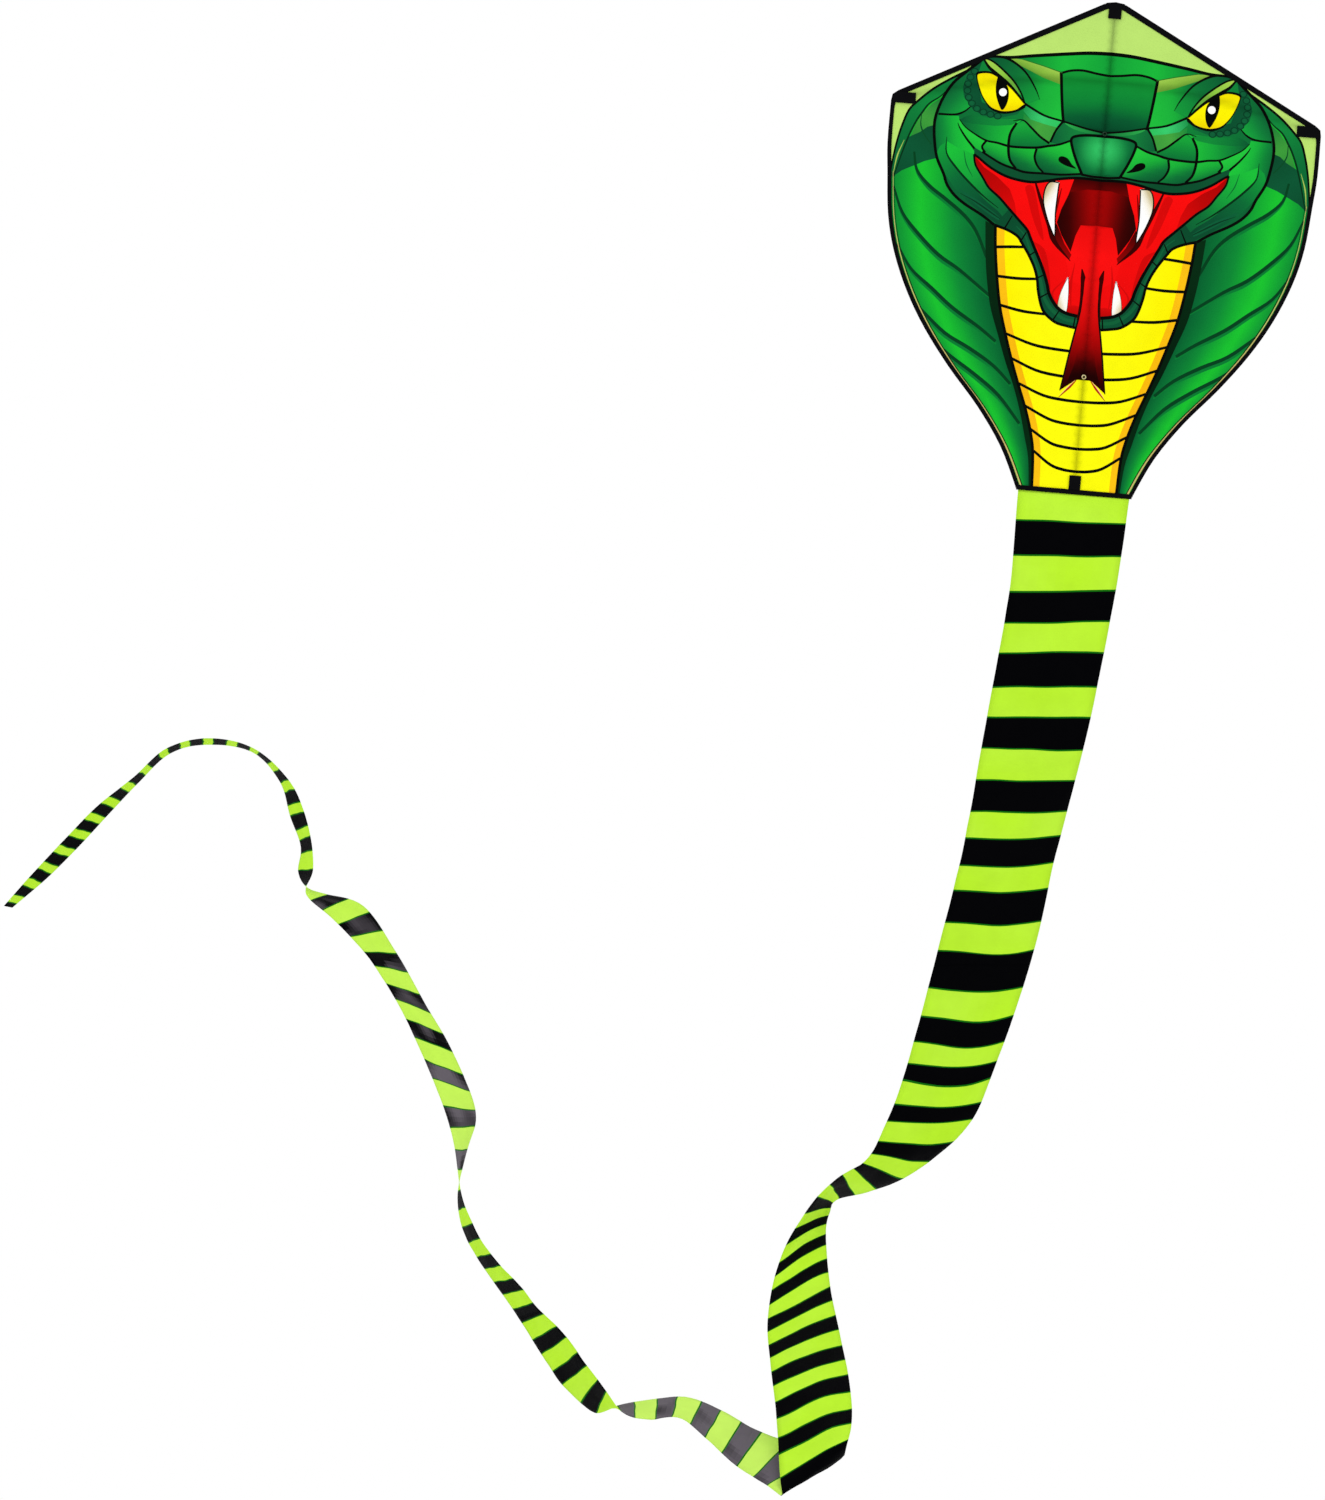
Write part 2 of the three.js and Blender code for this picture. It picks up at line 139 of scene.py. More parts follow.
class ColourSettings(bpy.types.PropertyGroup):
    """Print and thread colours, as a printer would mix them; the tail's two back colours are painted
    backlight.
    """

    ground: colour_property("Ground", "Pale green behind the snake", 188, 228, 112)
    lime: colour_property("Lime", "Tail cloth, front", 186, 243, 36)
    # Painted backlight: the back of the same dyed lime cloth, shown paler as if lit through from behind.
    lime_backlit: colour_property("Pale lime", "Tail cloth, back", 200, 243, 100)
    band: colour_property("Band", "Tail bands, front", 1, 1, 3)
    # Painted backlight: the black bands seen from behind, shown grey as if lit through.
    band_backlit: colour_property("Grey band", "Tail bands, back", 100, 94, 102)
    fringe: colour_property("Fringe", "Thin line where lime meets black", 16, 110, 14)


# ---------------------------------------------------------------------------------------------
# Colour and curve helpers, in millimetres on the sail


def linear(value):
    value = value / 255
    return value / 12.92 if value <= 0.04045 else ((value + 0.055) / 1.055) ** 2.4


def ink(code):
    """The linear colour of an ink written as six hexadecimal digits."""
    return np.array([linear(int(code[i:i + 2], 16)) for i in (0, 2, 4)])


def from_picker(colour):
    return np.array([linear(255 * channel) for channel in colour])


BLACK = ink("050705")
PEN = 1.15
DROOP = 0.0218


def flat(code):
    colour = ink(code)
    return lambda x, z: colour


def fade(start, end, *codes):
    """Even steps of colour from one point to another."""
    colours = [ink(code) for code in codes]
    way = np.array(end, float) - np.array(start, float)

    def paint(x, z):
        share = ((x - start[0]) * way[0] + (z - start[1]) * way[1]) / (way @ way)
        place = min(max(share, 0.0), 0.9999) * (len(colours) - 1)
        low = int(place)
        return colours[low] * (1 - place + low) + colours[low + 1] * (place - low)

    return paint


def glow(centre, radius, *codes):
    """Even steps of colour from a centre outwards."""
    colours = [ink(code) for code in codes]

    def paint(x, z):
        place = min(math.hypot(x - centre[0], z - centre[1]) / radius, 0.9999) * (len(colours) - 1)
        low = int(place)
        return colours[low] * (1 - place + low) + colours[low + 1] * (place - low)

    return paint


def catmull(p0, p1, p2, p3, t):
    return 0.5 * (
        2 * p1 + (p2 - p0) * t + (2 * p0 - 5 * p1 + 4 * p2 - p3) * t**2 + (3 * p1 - p0 - 3 * p2 + p3) * t**3
    )


def smooth(points, closed=False, steps=4):
    """A soft curve through the points."""
    own = [np.array(point, float) for point in points]
    count = len(own)
    made = []
    for i in range(count if closed else count - 1):
        if closed:
            around = [own[(i + k) % count] for k in (-1, 0, 1, 2)]
        else:
            before = own[i - 1] if i else 2 * own[0] - own[1]
            after = own[i + 2] if i + 2 < count else 2 * own[-1] - own[-2]
            around = [before, own[i], own[i + 1], after]
        made += [catmull(*around, k / steps) for k in range(steps)]
    return made if closed else made + [own[-1]]


def stroke(points, widths, steps=4):
    """The outline of a pen line whose width changes along it."""
    path = np.array(smooth(points, steps=steps))
    along = np.gradient(path, axis=0)
    along /= np.linalg.norm(along, axis=1, keepdims=True) + 1e-9
    side = np.stack([-along[:, 1], along[:, 0]], 1)
    places = np.linspace(0, len(widths) - 1, len(path))
    half = PEN * np.interp(places, range(len(widths)), widths)[:, None] / 2
    return [*(path + side * half), *(path - side * half)[::-1]]


class Print:
    """The layers of ink on the right half of the sail, the last on top."""

    def __init__(self):
        self.layers = []

    def shape(self, points, paint, soft=True, steps=3):
        outline = smooth(points, closed=True, steps=steps) if soft else points
        self.layers.append((np.array(outline, float), paint))

    def line(self, points, *widths, paint=None):
        widths = widths or (2.6,)
        if len(widths) == 1:
            widths = widths * 2
        self.layers.append((np.array(stroke(points, widths)), paint or flat("050705")))

    def outlined(self, points, paint, width=2.6, soft=True):
        self.shape(points, paint, soft)
        closed = [*points, points[0]]
        self.line(closed, width) if soft else self.corners(closed, width)

    def corners(self, points, width):
        for start, end in zip(points, points[1:]):
            self.layers.append((np.array(stroke([start, end], (width, width), 1)), flat("050705")))


# ---------------------------------------------------------------------------------------------
# The print


SIDE = [
    (352, 30), (352, -40), (348, -90), (341, -160), (326, -220), (300, -282),
    (266, -340), (221, -400), (169, -460), (127, -520), (99, -578), (95, FOOT),
]
BELLY_EDGE = [
    (164, -160), (161, -195), (155, -239), (146, -289), (133, -334), (119, -377),
    (104, -418), (90, -455), (79, -491), (72, -527), (69, -588),
]
STRIP_EDGE = [
    (181, -152), (177, -199), (172, -239), (162, -289), (146, -334), (129, -380), (113, -418),
    (99, -459), (88, -500), (79, -536), (74, -588),
]
JAW_OUTER = [
    (166, -158), (144, -165), (127, -174), (117, -187), (105, -205), (95, -224), (89, -242), (86, -260),
    (80, -282), (72, -297), (54, -311), (36, -316), (18, -319), (0, -320),
]
MOUTH_SIDE = [
    (209, -45), (205, -62), (192, -81), (180, -98), (162, -112.5), (144, -130.5), (126, -148.5), (112, -163),
    (105, -177), (96, -195), (87, -213), (79, -231), (72, -250), (68, -264), (60, -278), (50, -289),
    (36, -296), (14, -300), (0, -300),
]
LIP_TOP = [
    (0, -76), (36, -74), (65, -77), (83, -80.5), (108, -84.5), (130, -83), (155, -77), (180, -65),
    (199, -51.5), (209, -45),
]
FACE_EDGE = [
    (208, 111), (217, 102), (235, 86), (253, 68), (267, 44), (276, 17), (278, -4), (275, -30), (269, -55),
    (256, -80), (249, -97), (236, -113), (217, -127), (188, -143), (166, -158),
]
ARCH = [(0, 131), (36, 130.5), (72, 127), (126, 120.5), (162, 115.5), (191, 115), (208, 111)]
HOOD_EDGE = [
    (208, 106), (217, 98), (236, 87), (260, 73), (285, 56), (307, 36), (321, 20), (330, -5), (336, -30),
    (340, -55), (343, -82),
]


def across(edge, z):
    heights = [point[1] for point in edge][::-1]
    return float(np.interp(z, heights, [point[0] for point in edge][::-1]))


def hood_paint():
    """The hood's green, dark beside the belly, bright along its middle and darker towards the edge."""
    greens = [ink(code) for code in ("066030", "0A7434", "0E8A35", "14AC31", "1AC42F", "12A033", "0A7A33")]

    def paint(x, z):
        inner = across(STRIP_EDGE, z)
        share = (x - inner) / max(across(SIDE, z) - inner, 1)
        place = min(max(share, 0.0), 0.9999) * (len(greens) - 1)
        low = int(place)
        return greens[low] * (1 - place + low) + greens[low + 1] * (place - low)

    return paint


def print_ground(art, ground):
    art.shape([(-5, 260), (400, 260), (400, -640), (-5, -640)], lambda x, z: ground, soft=False)


def print_hood(art):
    beyond = [(400, -120), (400, -640), (-5, -640), (-5, 128)]
    art.shape([*smooth(ARCH), *smooth(HOOD_EDGE)[1:], *beyond], hood_paint(), soft=False)
    inner_arc = [(262, 56), (273, 44), (289, 32), (300, 16), (308, 2), (318, -22), (328, -55), (337, -90)]
    art.shape(
        [*smooth(HOOD_EDGE), (340, -92), *smooth(inner_arc)[::-1], (236, 84)],
        fade((230, 90), (338, -80), "0F6E38", "128A3C", "0D7036", "0B6233"), soft=False,
    )
    art.shape(
        [(266, 46), (285, 32), (300, 14), (310, -8), (316, -26), (300, -15), (289, -6), (277, -2), (276, 20)],
        fade((270, 40), (314, -24), "1C7C36", "3D9C3A", "2C8A35"), soft=False,
    )
    art.shape(
        [(277, -2), (289, -6), (300, -15), (317, -24), (324, -42), (337, -90), (325, -80), (307, -71),
        (289, -62),
         (268, -55), (275, -30)],
        fade((278, -10), (330, -84), "0A4A2C", "0C5634", "0A4C2E"), soft=False,
    )
    art.line(inner_arc, 1.2, 2.8, 2.8, 1.6, paint=flat("052E16"))
    art.line([(300, 15), (300, -4), (292, -20), (280, -34)], 0.8, 2.2, 1.4, paint=flat("0A4A26"))
    art.line([(325, -30), (334, -56), (338, -84)], 0.6, 2.0, 0.6, paint=flat("A8C85A"))
    for rib in HOOD_RIBS:
        below = [(x - 1, z - 4) for x, z in rib]
        art.line(below, 1, 7, 8, 2, paint=flat("0A7A33"))
        art.line(rib, 3.0, 5.0, 5.2, 4.2, paint=flat("05401F"))
    art.line(HOOD_EDGE, 3.6, 3.4, 3.2, 2.4)


HOOD_RIBS = [
    [(307, -48), (300, -77), (278, -101), (249, -121), (217, -145), (195, -170), (174, -212)],
    [(336, -106), (318, -148), (289, -181), (253, -213), (217, -235), (164, -274)],
    [(322, -200), (296, -239), (260, -268), (224, -297), (178, -326), (148, -348)],
    [(304, -276), (270, -308), (232, -340), (190, -362), (148, -388), (118, -416)],
    [(264, -340), (224, -374), (178, -404), (136, -436), (98, -480)],
]


def print_face(art):
    """The snake's face without its eyes, plates and mouth."""
    face = [*smooth(ARCH), *smooth(FACE_EDGE)[1:], *smooth(JAW_OUTER)[1:]]
    art.shape(face, fade((60, 60), (250, -120), "14943A", "0E7236", "0B5D32"), soft=False)
    art.shape(
        [(-5, 130), (60, 128), (136, 118), (170, 114), (150, 108), (80, 98), (40, 101), (-5, 95)],
        fade((0, 100), (150, 110), "12A038", "1AB83A", "0D7A34"), soft=False,
    )
    # Pale brow: the print's pale green, darkening to olive along its lower edge as a painted shadow of the
    # spar.
    art.shape(
        [(77, 95), (108, 104), (144, 113), (170, 115), (155, 108), (144, 102), (108, 86), (77, 76)],
        fade((82, 98), (92, 74), "A2CE50", "86B83E", "4E8A2C"), soft=False,
    )
    art.shape(
        [(77, 76), (108, 86), (146, 103), (137, 93), (119, 68), (110, 50), (133, 41), (101, 25), (70, 17)],
        fade((74, 50), (140, 66), "1FBC3C", "1AAE3A", "0D7436"), soft=False,
    )
    art.shape(
        [(204, 113), (180, 115), (159, 109), (137, 93), (119, 68), (110, 50), (134, 42), (144, 62), (162, 82),
         (180, 97), (204, 110)],
        fade((112, 54), (200, 108), "149A3A", "0E7236", "0A5030"), soft=False,
    )
    art.shape(
        [(208, 111), (222, 98), (232, 82), (237, 62), (232, 44), (218, 28), (202, 19), (174, 16),
        (144, 24), (134, 40),
         (166, 26), (204, 40), (215, 80)],
        fade((150, 20), (236, 70), "0F6638", "0A4C2E", "0B5632"), soft=False,
    )
    art.shape(
        [(222, 98), (235, 86), (253, 68), (267, 44), (272, 19), (246, 17), (231, 24), (221, 32),
        (234, 46), (238, 62),
         (233, 82)],
        fade((226, 34), (262, 60), "16A03C", "0F7A38", "0B5A32"), soft=False,
    )
    art.shape(
        [(88, -20), (133, 14), (145, 8), (152, -8), (153, -28), (108, -29)],
        fade((120, 6), (120, -30), "17A439", "108A37", "0C6C36"), soft=False,
    )
    art.shape(
        [(136, 15), (162, 15), (188, 15), (217, 19), (231, 14), (238, 8), (227, -3), (209, -13), (191, -22),
         (173, -24), (154, -28), (152, -8), (145, 8)],
        fade((150, 4), (236, 4), "1DBC38", "16A438", "0F8036", "0B5A32"), soft=False,
    )
    art.shape(
        [(140, 14), (162, 15), (188, 15), (217, 19), (231, 14), (238, 8), (216, 4), (180, 3), (152, 6)],
        fade((170, 12), (236, 4), "138C38", "0E7A36", "0A5530"), soft=False,
    )
    art.shape(
        [(239, 15), (272, 15), (277, -4), (275, -30), (268, -55), (254, -80), (236, -102), (214, -118),
        (190, -130),
         (196, -106), (209, -88), (206, -62), (209, -40), (224, -19), (236, -4)],
        fade((218, -40), (276, -50), "1DC43A", "19B43A", "0F8638", "0B5E33"), soft=False,
    )
    art.shape(
        [(209, -45), (232, -38), (255, -27), (253, -48), (235, -69), (213, -91), (195, -109), (180, -122),
         (162, -135), (150, -148), (138, -162), (118, -166), (126, -149), (144, -131), (162, -113),
         (180, -98),
         (191, -81), (205, -62)],
        fade((240, -40), (140, -150), "1BBE39", "16A23A", "0E7036", "0C5A34"), soft=False,
    )
    art.shape(
        [(255, -27), (266, -36), (271, -50), (254, -80), (236, -102), (214, -122), (188, -140), (164, -155),
         (140, -166), (120, -172), (112, -170), (138, -162), (150, -148), (162, -135), (180, -122),
         (195, -109),
         (213, -91), (235, -69), (253, -48)],
        fade((268, -40), (150, -158), "119A38", "0C6A36", "0A5030", "0A462B"), soft=False,
    )
    art.line([(228, -104), (196, -124), (168, -142), (146, -156)], 1, 7, 6, 1, paint=flat("0D5C38"))


def print_face_lines(art):
    art.line(ARCH, 5.4, 5.0, 4.4, 2.4)
    art.line([(204, 113), (180, 115.5), (159, 109), (137, 93), (119, 68), (110, 50)], 3.0, 3.6, 3.2, 2.4, 0.6)
    art.line([(77, 95.5), (108, 105), (144, 113.5)], 1.2, 0.8, paint=flat("2C6A22"))
    art.line([(0, 1.5), (30, 7), (69, 17), (101, 25), (134, 42)], 2.6, 2.8, 3.4)
    art.line([(69, 17), (79, 2), (87, -18)], 3.4, 3.2)
    art.line([(88, -20), (104, -10), (120, 4), (134, 15), (150, 13)], 3.2, 3.0, 1.0)
    art.line([(144, 10), (153, -8), (154, -30), (150, -50), (139, -64)], 3.6, 4.0, 3.4)
    art.line([(108, -30), (110, -44), (104, -58), (94, -68)], 3.6, 3.2, 2.6)
    art.line([(191, -22), (197, -32), (191, -41)], 3.4, 3.0)
    art.line(
        [(52, -13), (72, -21), (90, -24.5), (108, -28), (137, -29), (155, -28), (173, -24), (191, -21.5),
         (209, -13), (227, -2), (238, 10)],
        3.0, 3.6, 3.4, 2.6, 1.2,
    )
    art.line([(209, -36), (224, -20), (236, -4), (240, 4)], 3.4, 2.6, 0.8)
    art.line([(221, 32), (231, 23), (246, 17), (273, 16)], 1.6, 3.0, 3.0)
    art.line([(256, -20), (254, -46), (236, -69), (212, -92), (188, -112), (162, -130)], 0.8, 3.0, 3.0,
        0.8, paint=flat("052E16"))
    art.line([(226, -40), (220, -62), (208, -82)], 0.6, 1.8, 0.6, paint=flat("0A6A2E"))
    art.line([(226, -110), (200, -122), (170, -140), (150, -152)], 0.6, 2.4, 0.8, paint=flat("073820"))
    art.line(FACE_EDGE, 4.6, 4.2, 4.2, 4.0)


def print_eye(art):
    """A yellow eye with a slit pupil, under a pale brow."""
    bumps = [(220, 89), (226, 79), (229, 68), (229, 57), (226, 46), (220, 37), (211, 29), (200, 24),
        (188, 21), (176, 19)]
    for x, z in bumps:
        bump = [(x + 6.5 * math.cos(a), z + 5.5 * math.sin(a)) for a in np.linspace(0, 2 * math.pi, 9)[:-1]]
        art.shape(bump, flat("063A22"))
        art.shape([(x + (u - x) * 0.74, z + (w - z) * 0.74) for u, w in bump],
            glow((x, z), 7, "11683C", "0B5030"))
    eye = [
        (134, 42), (155, 62), (170, 73), (181, 81), (195, 87), (213, 85), (214, 77), (209, 62), (202, 48),
        (191, 35), (180, 29.5), (166, 27.5), (148, 31),
    ]
    art.shape([(178 + (x - 178) * 1.07, 57 + (z - 57) * 1.12) for x, z in eye], flat("050705"))
    art.shape(eye, fade((176, 86), (176, 28), "F2E000", "FFF600", "FFF200", "F0D400"))
    pupil = [(180, 85), (183.5, 70), (182, 54), (177, 40), (170, 29), (163.5, 38), (161, 52), (163, 65),
        (171, 76)]
    art.shape(pupil, flat("040504"))
    dot = [(171 + 6.4 * math.cos(a), 58 + 6.4 * math.sin(a)) for a in np.linspace(0, 2 * math.pi, 13)[:-1]]
    art.shape(dot, flat("FFFFFF"))
    art.shape(
        [(205, 111), (190, 105), (172, 92), (155, 76), (141, 57), (147, 58.5), (158, 70), (171, 80),
        (185, 89), (197, 98)],
        fade((208, 110), (142, 58), "A8D250", "8FC743", "4FA53C"),
    )
    art.line([(207, 110), (197, 97), (184, 87), (170, 77), (154, 63.5), (134, 42)], 2.6, 5, 4.8, 2.6)
    art.line([(205, 112), (190, 106), (171, 92), (154, 76), (141, 58), (134, 43)], 2.4, 3.0, 2.2)
    art.line([(134, 40), (148, 29), (166, 25), (181, 27), (193, 33)], 2.2, 3.0, 1.2)


def print_snout(art):
    art.shape(
        [(-5, 2), (68, 17), (87, -18), (72, -21), (52, -13), (44, -4), (-5, -3)],
        fade((0, 0), (88, -5), "0B5A33", "15803C", "0C5A34"), soft=False,
    )
    art.shape([(0, 2), (30, 5), (66, 15), (50, 5), (20, -1)], fade((0, 0), (66, 14), "0E6A37", "2DAA4B"))
    art.shape(
        [(70, 17), (101, 24.5), (133, 40), (135, 30), (122, 17), (100, 11), (76, 6)],
        fade((72, 12), (136, 34), "2DC05A", "3ACB6E", "1A8E48"), soft=False,
    )
    art.shape(
        [(76, 6), (100, 11), (122, 17), (134, 26), (134, 15), (120, 4), (104, -10), (88, -20), (80, -4)],
        fade((80, 0), (134, 16), "3C9A3C", "45A53E", "1F8A3A"), soft=False,
    )
    cells = [
        [(50, -14), (72, -21), (90, -24), (108, -28), (110, -44), (104, -58), (94, -68), (65, -69),
        (32, -66)],
        [(108, -28), (137, -29), (154, -28), (154, -42), (150, -52), (139, -64), (123, -68), (94, -68),
        (104, -58), (110, -44)],
        [(154, -28), (173, -24), (191, -22), (197, -32), (191, -41), (180, -48), (162, -57), (139, -64),
        (150, -52)],
        [(192, -22), (209, -13), (227, -3), (239, 10), (236, -4), (224, -19), (209, -34), (195, -41),
        (198, -32)],
    ]
    for cell in cells:
        middle = np.mean(cell, axis=0)
        art.shape(cell, fade((middle[0] - 12, -22), (middle[0] + 8, -68), "22C43C", "1AB038", "0E7436",
            "0A5530"), soft=False)
    art.shape(
        [(-5, -68), (32, -66), (65, -69), (94, -69), (123, -68), (139, -64), (162, -57), (180, -48),
        (195, -41),
         (209, -34), (209, -45), *smooth(LIP_TOP)[::-1], (-5, -76)],
        fade((0, -70), (190, -60), "0E5A33", "0A4A2B", "0C5230"), soft=False,
    )
    art.line([(32, -67), (65, -70), (94, -69.5), (123, -69), (139, -65), (162, -58), (180, -49),
        (196, -40)], 3.0, 3.4, 3.0)
    nostril = [(70, -41), (71, -47), (65, -52), (55, -56), (41, -59), (49, -52), (55, -44), (63, -40)]
    art.shape(nostril, flat("040504"))
    nose = [(-5, -4), (24, -3.5), (44, -5.5), (53, -11), (50, -26), (42, -46), (36, -58), (32, -67),
        (14, -70), (-5, -71)]
    art.shape(nose, glow((5, -26), 54, "35C868", "25A853", "0D743A", "095230"), soft=False)
    art.line([(0, -4), (24, -3.5), (44, -5.5), (53, -11), (50, -26), (42, -46), (36, -58), (31, -68)], 4.0)
    art.line([(0, -71), (14, -70.5), (32, -68)], 3.4)
    plate = [(-5, 94.5), (20, 97), (44, 100.5), (64, 99), (78, 95), (75, 60), (70, 30), (68, 16),
        (40, 10), (-5, 2)]
    art.shape(plate, fade((30, 100), (20, 4), "119634", "0F8C34", "0C8234", "075A30", "044628"), soft=False)
    art.line([(0, 95), (20, 97.5), (44, 101.5), (64, 100), (79, 95)], 3.4)
    art.line([(79, 96), (75, 60), (71, 30), (68, 14)], 4.4, 4.0)


def print_mouth(art):
    jaw = [*smooth(MOUTH_SIDE[5:]), *smooth(JAW_OUTER)[::-1]]
    art.shape(jaw, fade((160, -160), (20, -320), "0A4A2C", "0C5434", "0A4C30", "0C5634"), soft=False)
    middle = [(130, -158), (115, -172), (107, -190), (97, -212), (88, -232), (81, -252), (76, -270),
        (62, -290), (40, -305), (14, -309), (0, -309)]
    art.line(middle, 1, 4, 5, 4, paint=flat("106038"))
    for start, end in [
        ((138, -141), (149, -163)), ((113, -167), (122, -184)), ((95, -197), (107, -206)),
        ((79, -235), (90, -241)),
        ((69, -264), (83, -273)), ((48, -290), (58, -308)), ((22, -299), (24, -318)),
    ]:
        art.line([start, end], 1.6, 2.4)
    mouth = [*smooth(LIP_TOP), *smooth(MOUTH_SIDE)[1:]]
    art.shape(mouth, fade((40, -100), (100, -200), "FA0C0C", "F80A0A", "F00A0A"), soft=False)
    art.shape(
        [(209, -46), (191, -65), (168, -79), (146, -98), (136, -120), (130, -145), (144, -131),
        (162, -113), (180, -98),
         (192, -81), (205, -62)],
        fade((200, -55), (130, -140), "A80202", "C00404", "DC0606"), soft=False,
    )
    art.shape([(108, -92), (121, -93), (116, -110), (106, -140), (92, -170), (84, -176), (96, -130)],
        flat("D60606"))
    art.shape([(104, -180), (94, -190), (82, -216), (74, -244), (66, -258), (72, -222), (82, -192)],
        flat("D20606"))
    throat = [
        (-5, -76), (43, -76), (50, -102), (60, -127), (65, -148), (56, -168), (46, -184), (38, -196),
        (32, -172),
        (26, -152), (-5, -150),
    ]
    art.shape(throat, fade((0, -110), (64, -118), "A80303", "940202", "6A0101", "3A0000", "280000"),
        soft=False)
    art.shape([(-5, -76), (43, -76), (49, -98), (20, -92), (-5, -92)],
        fade((0, -76), (0, -96), "3A0000", "6A0101"), soft=False)
    art.shape(
        [(-5, -150), (26, -151), (33, -168), (39, -196), (46, -206), (36, -240), (-5, -262)],
        fade((0, -150), (0, -250), "EA0A0A", "FA0E0E", "F40C0C"), soft=False,
    )
    art.shape([(65, -150), (70, -160), (68, -178), (40, -208), (37, -200), (50, -182)],
        fade((66, -156), (42, -204), "3A0000", "900202"), soft=False)
    art.line([(105, -85), (97, -106), (87, -130), (77, -152), (66, -180), (38, -210)], 2.6, 5.0, 7.0, 8.0,
        1.0, paint=flat("3A0000"))
    art.line([(62, -92), (66, -116), (70, -142), (66, -168)], 1, 4, 1, paint=flat("7E0202"))
    for points in ([(43, -240), (62, -262), (56, -280), (34, -290)], [(30, -212), (34, -250), (30, -290)]):
        art.line(points, 0.5, 4, 1, paint=flat("D00808"))
    upper = [(66.5, -83), (67.5, -102), (68.5, -134), (66.5, -170), (75, -157), (83, -138), (89.5, -116),
        (89, -96), (82, -83)]
    art.outlined(upper, fade((68, -120), (91, -108), "FFFFFF", "FFFFFF", "F6F0DC", "C9B98A"), 2.0)
    art.shape([(16, -284), (24, -282), (37, -283), (37, -297), (16, -300)],
        fade((26, -280), (26, -298), "D80808", "B80404"), soft=False)
    lower = [(39, -236), (36.5, -260), (37, -292), (44, -293), (52, -286), (50.5, -268), (45, -250)]
    art.outlined(lower, fade((37, -270), (53, -276), "FFFFFF", "FDFAF0", "DCCB9C"), 0.7)
    art.line(LIP_TOP, 4.0, 4.0, 3.4)
    art.line(MOUTH_SIDE, 2.8, 3.6, 4.4, 4.8, 4.8)
    art.line(JAW_OUTER, 4.0)


def print_belly(art):
    outer = smooth(BELLY_EDGE)
    art.shape([*outer, *smooth(STRIP_EDGE)[::-1]], fade((170, -200), (80, -560), "052B12", "031C0B",
        "052B12"), soft=False)
    art.shape([*outer, (-5, -600), (-5, -322), *smooth(JAW_OUTER)[::-1]],
        fade((0, -300), (150, -300), "FFFF0C", "FFFB0A", "FFF200"), soft=False)
    inner = [(x - 15 + 0.006 * (z + 161) * -1, z) for x, z in BELLY_EDGE]
    art.shape([*outer, *smooth(inner)[::-1]], fade((160, -200), (70, -580), "FFC414", "F8B80C", "FFC414"),
        soft=False)
    art.line(BELLY_EDGE, 4.2)
    for points in BELLY_LINES:
        art.line(points, 3.8, 4.4, 4.2)


BELLY_LINES = [
    [(111, -191), (136, -192), (163, -194)],
    [(87, -242), (120, -243), (155, -241)],
    [(69, -299), (108, -296), (146, -288)],
    [(132, -334), (88, -349), (50, -355), (0, -359)],
    [(119, -374), (78, -391), (40, -398), (0, -401)],
    [(104, -414), (64, -431), (30, -437), (0, -439)],
    [(91, -450), (52, -469), (26, -475), (0, -477)],
    [(80, -487), (46, -508), (22, -514), (0, -516)],
    [(71, -523), (42, -544), (20, -551), (0, -553)],
]


def print_tongue(art):
    art.line([(18, -222), (15, -236), (13, -256), (14, -280), (18, -306)], 1.5, 7, 8, 6, 3,
        paint=flat("3A0000"))
    tongue = [
        (-5, -215), (9, -222), (12, -242), (12, -262), (14, -286), (17, -308), (22, -335), (27, -364),
        (31, -392),
        (36, -421), (24, -412), (13, -404), (6, -402), (-5, -402),
    ]
    art.shape(tongue, fade((0, -225), (0, -410), "F20E0E", "EC0C0C", "E00A0A", "C80606", "9A0303",
        "560000", "260000"), soft=False)
    art.shape(
        [(-5, -334), (3, -335), (10, -344), (15, -362), (19, -384), (27, -409), (16, -404), (6, -402),
        (-5, -402)],
        fade((0, -336), (0, -392), "B40505", "8E0303", "4A0000", "1E0000"), soft=False,
    )
    art.line([(12, -404), (22, -416), (38, -433)], 1.2, 3.2, 0.8, paint=flat("B02A12"))
    art.line([(14, -404), (24, -415), (37, -430)], 0.2, 1.2, 0.2, paint=flat("FFC090"))
    art.line([(13, -256), (14, -284), (17.5, -308), (22.5, -335), (27.5, -364), (32, -392), (37, -422)],
        1.0, 2.6, 2.6, 1.6)


def print_piping(art):
    edge = [(x - 9.4, z) for x, z in SIDE[2:]]
    art.line(edge, 0.6, 1.2, 1.8, 2.4, 2.4, paint=flat("CFC072"))
    art.line([(x - 2.4, z) for x, z in edge], 0.6, 1.4, 1.6, 1.6, paint=flat("0A2A10"))


def cobra_print(ground):
    """Every layer of the print on the right half of the sail, the lowest first."""
    art = Print()
    print_ground(art, ground)
    print_hood(art)
    print_belly(art)
    print_face(art)
    print_snout(art)
    print_face_lines(art)
    print_mouth(art)
    print_eye(art)
    print_tongue(art)
    drooped = [(outline - outline[:, :1] * (0, DROOP), paint) for outline, paint in art.layers]
    piping = Print()
    print_piping(piping)
    return drooped + piping.layers


# ---------------------------------------------------------------------------------------------
# Meshes


def new_piece(name, verts, faces, material):
    mesh = bpy.data.meshes.new(name)
    mesh.from_pydata([tuple(point) for point in verts], [], faces)
    mesh.update()
    piece = bpy.data.objects.new(name, mesh)
    bpy.context.scene.collection.objects.link(piece)
    mesh.materials.append(material)
    return piece


def shade_smooth(piece):
    piece.data.polygons.foreach_set("use_smooth", [True] * len(piece.data.polygons))


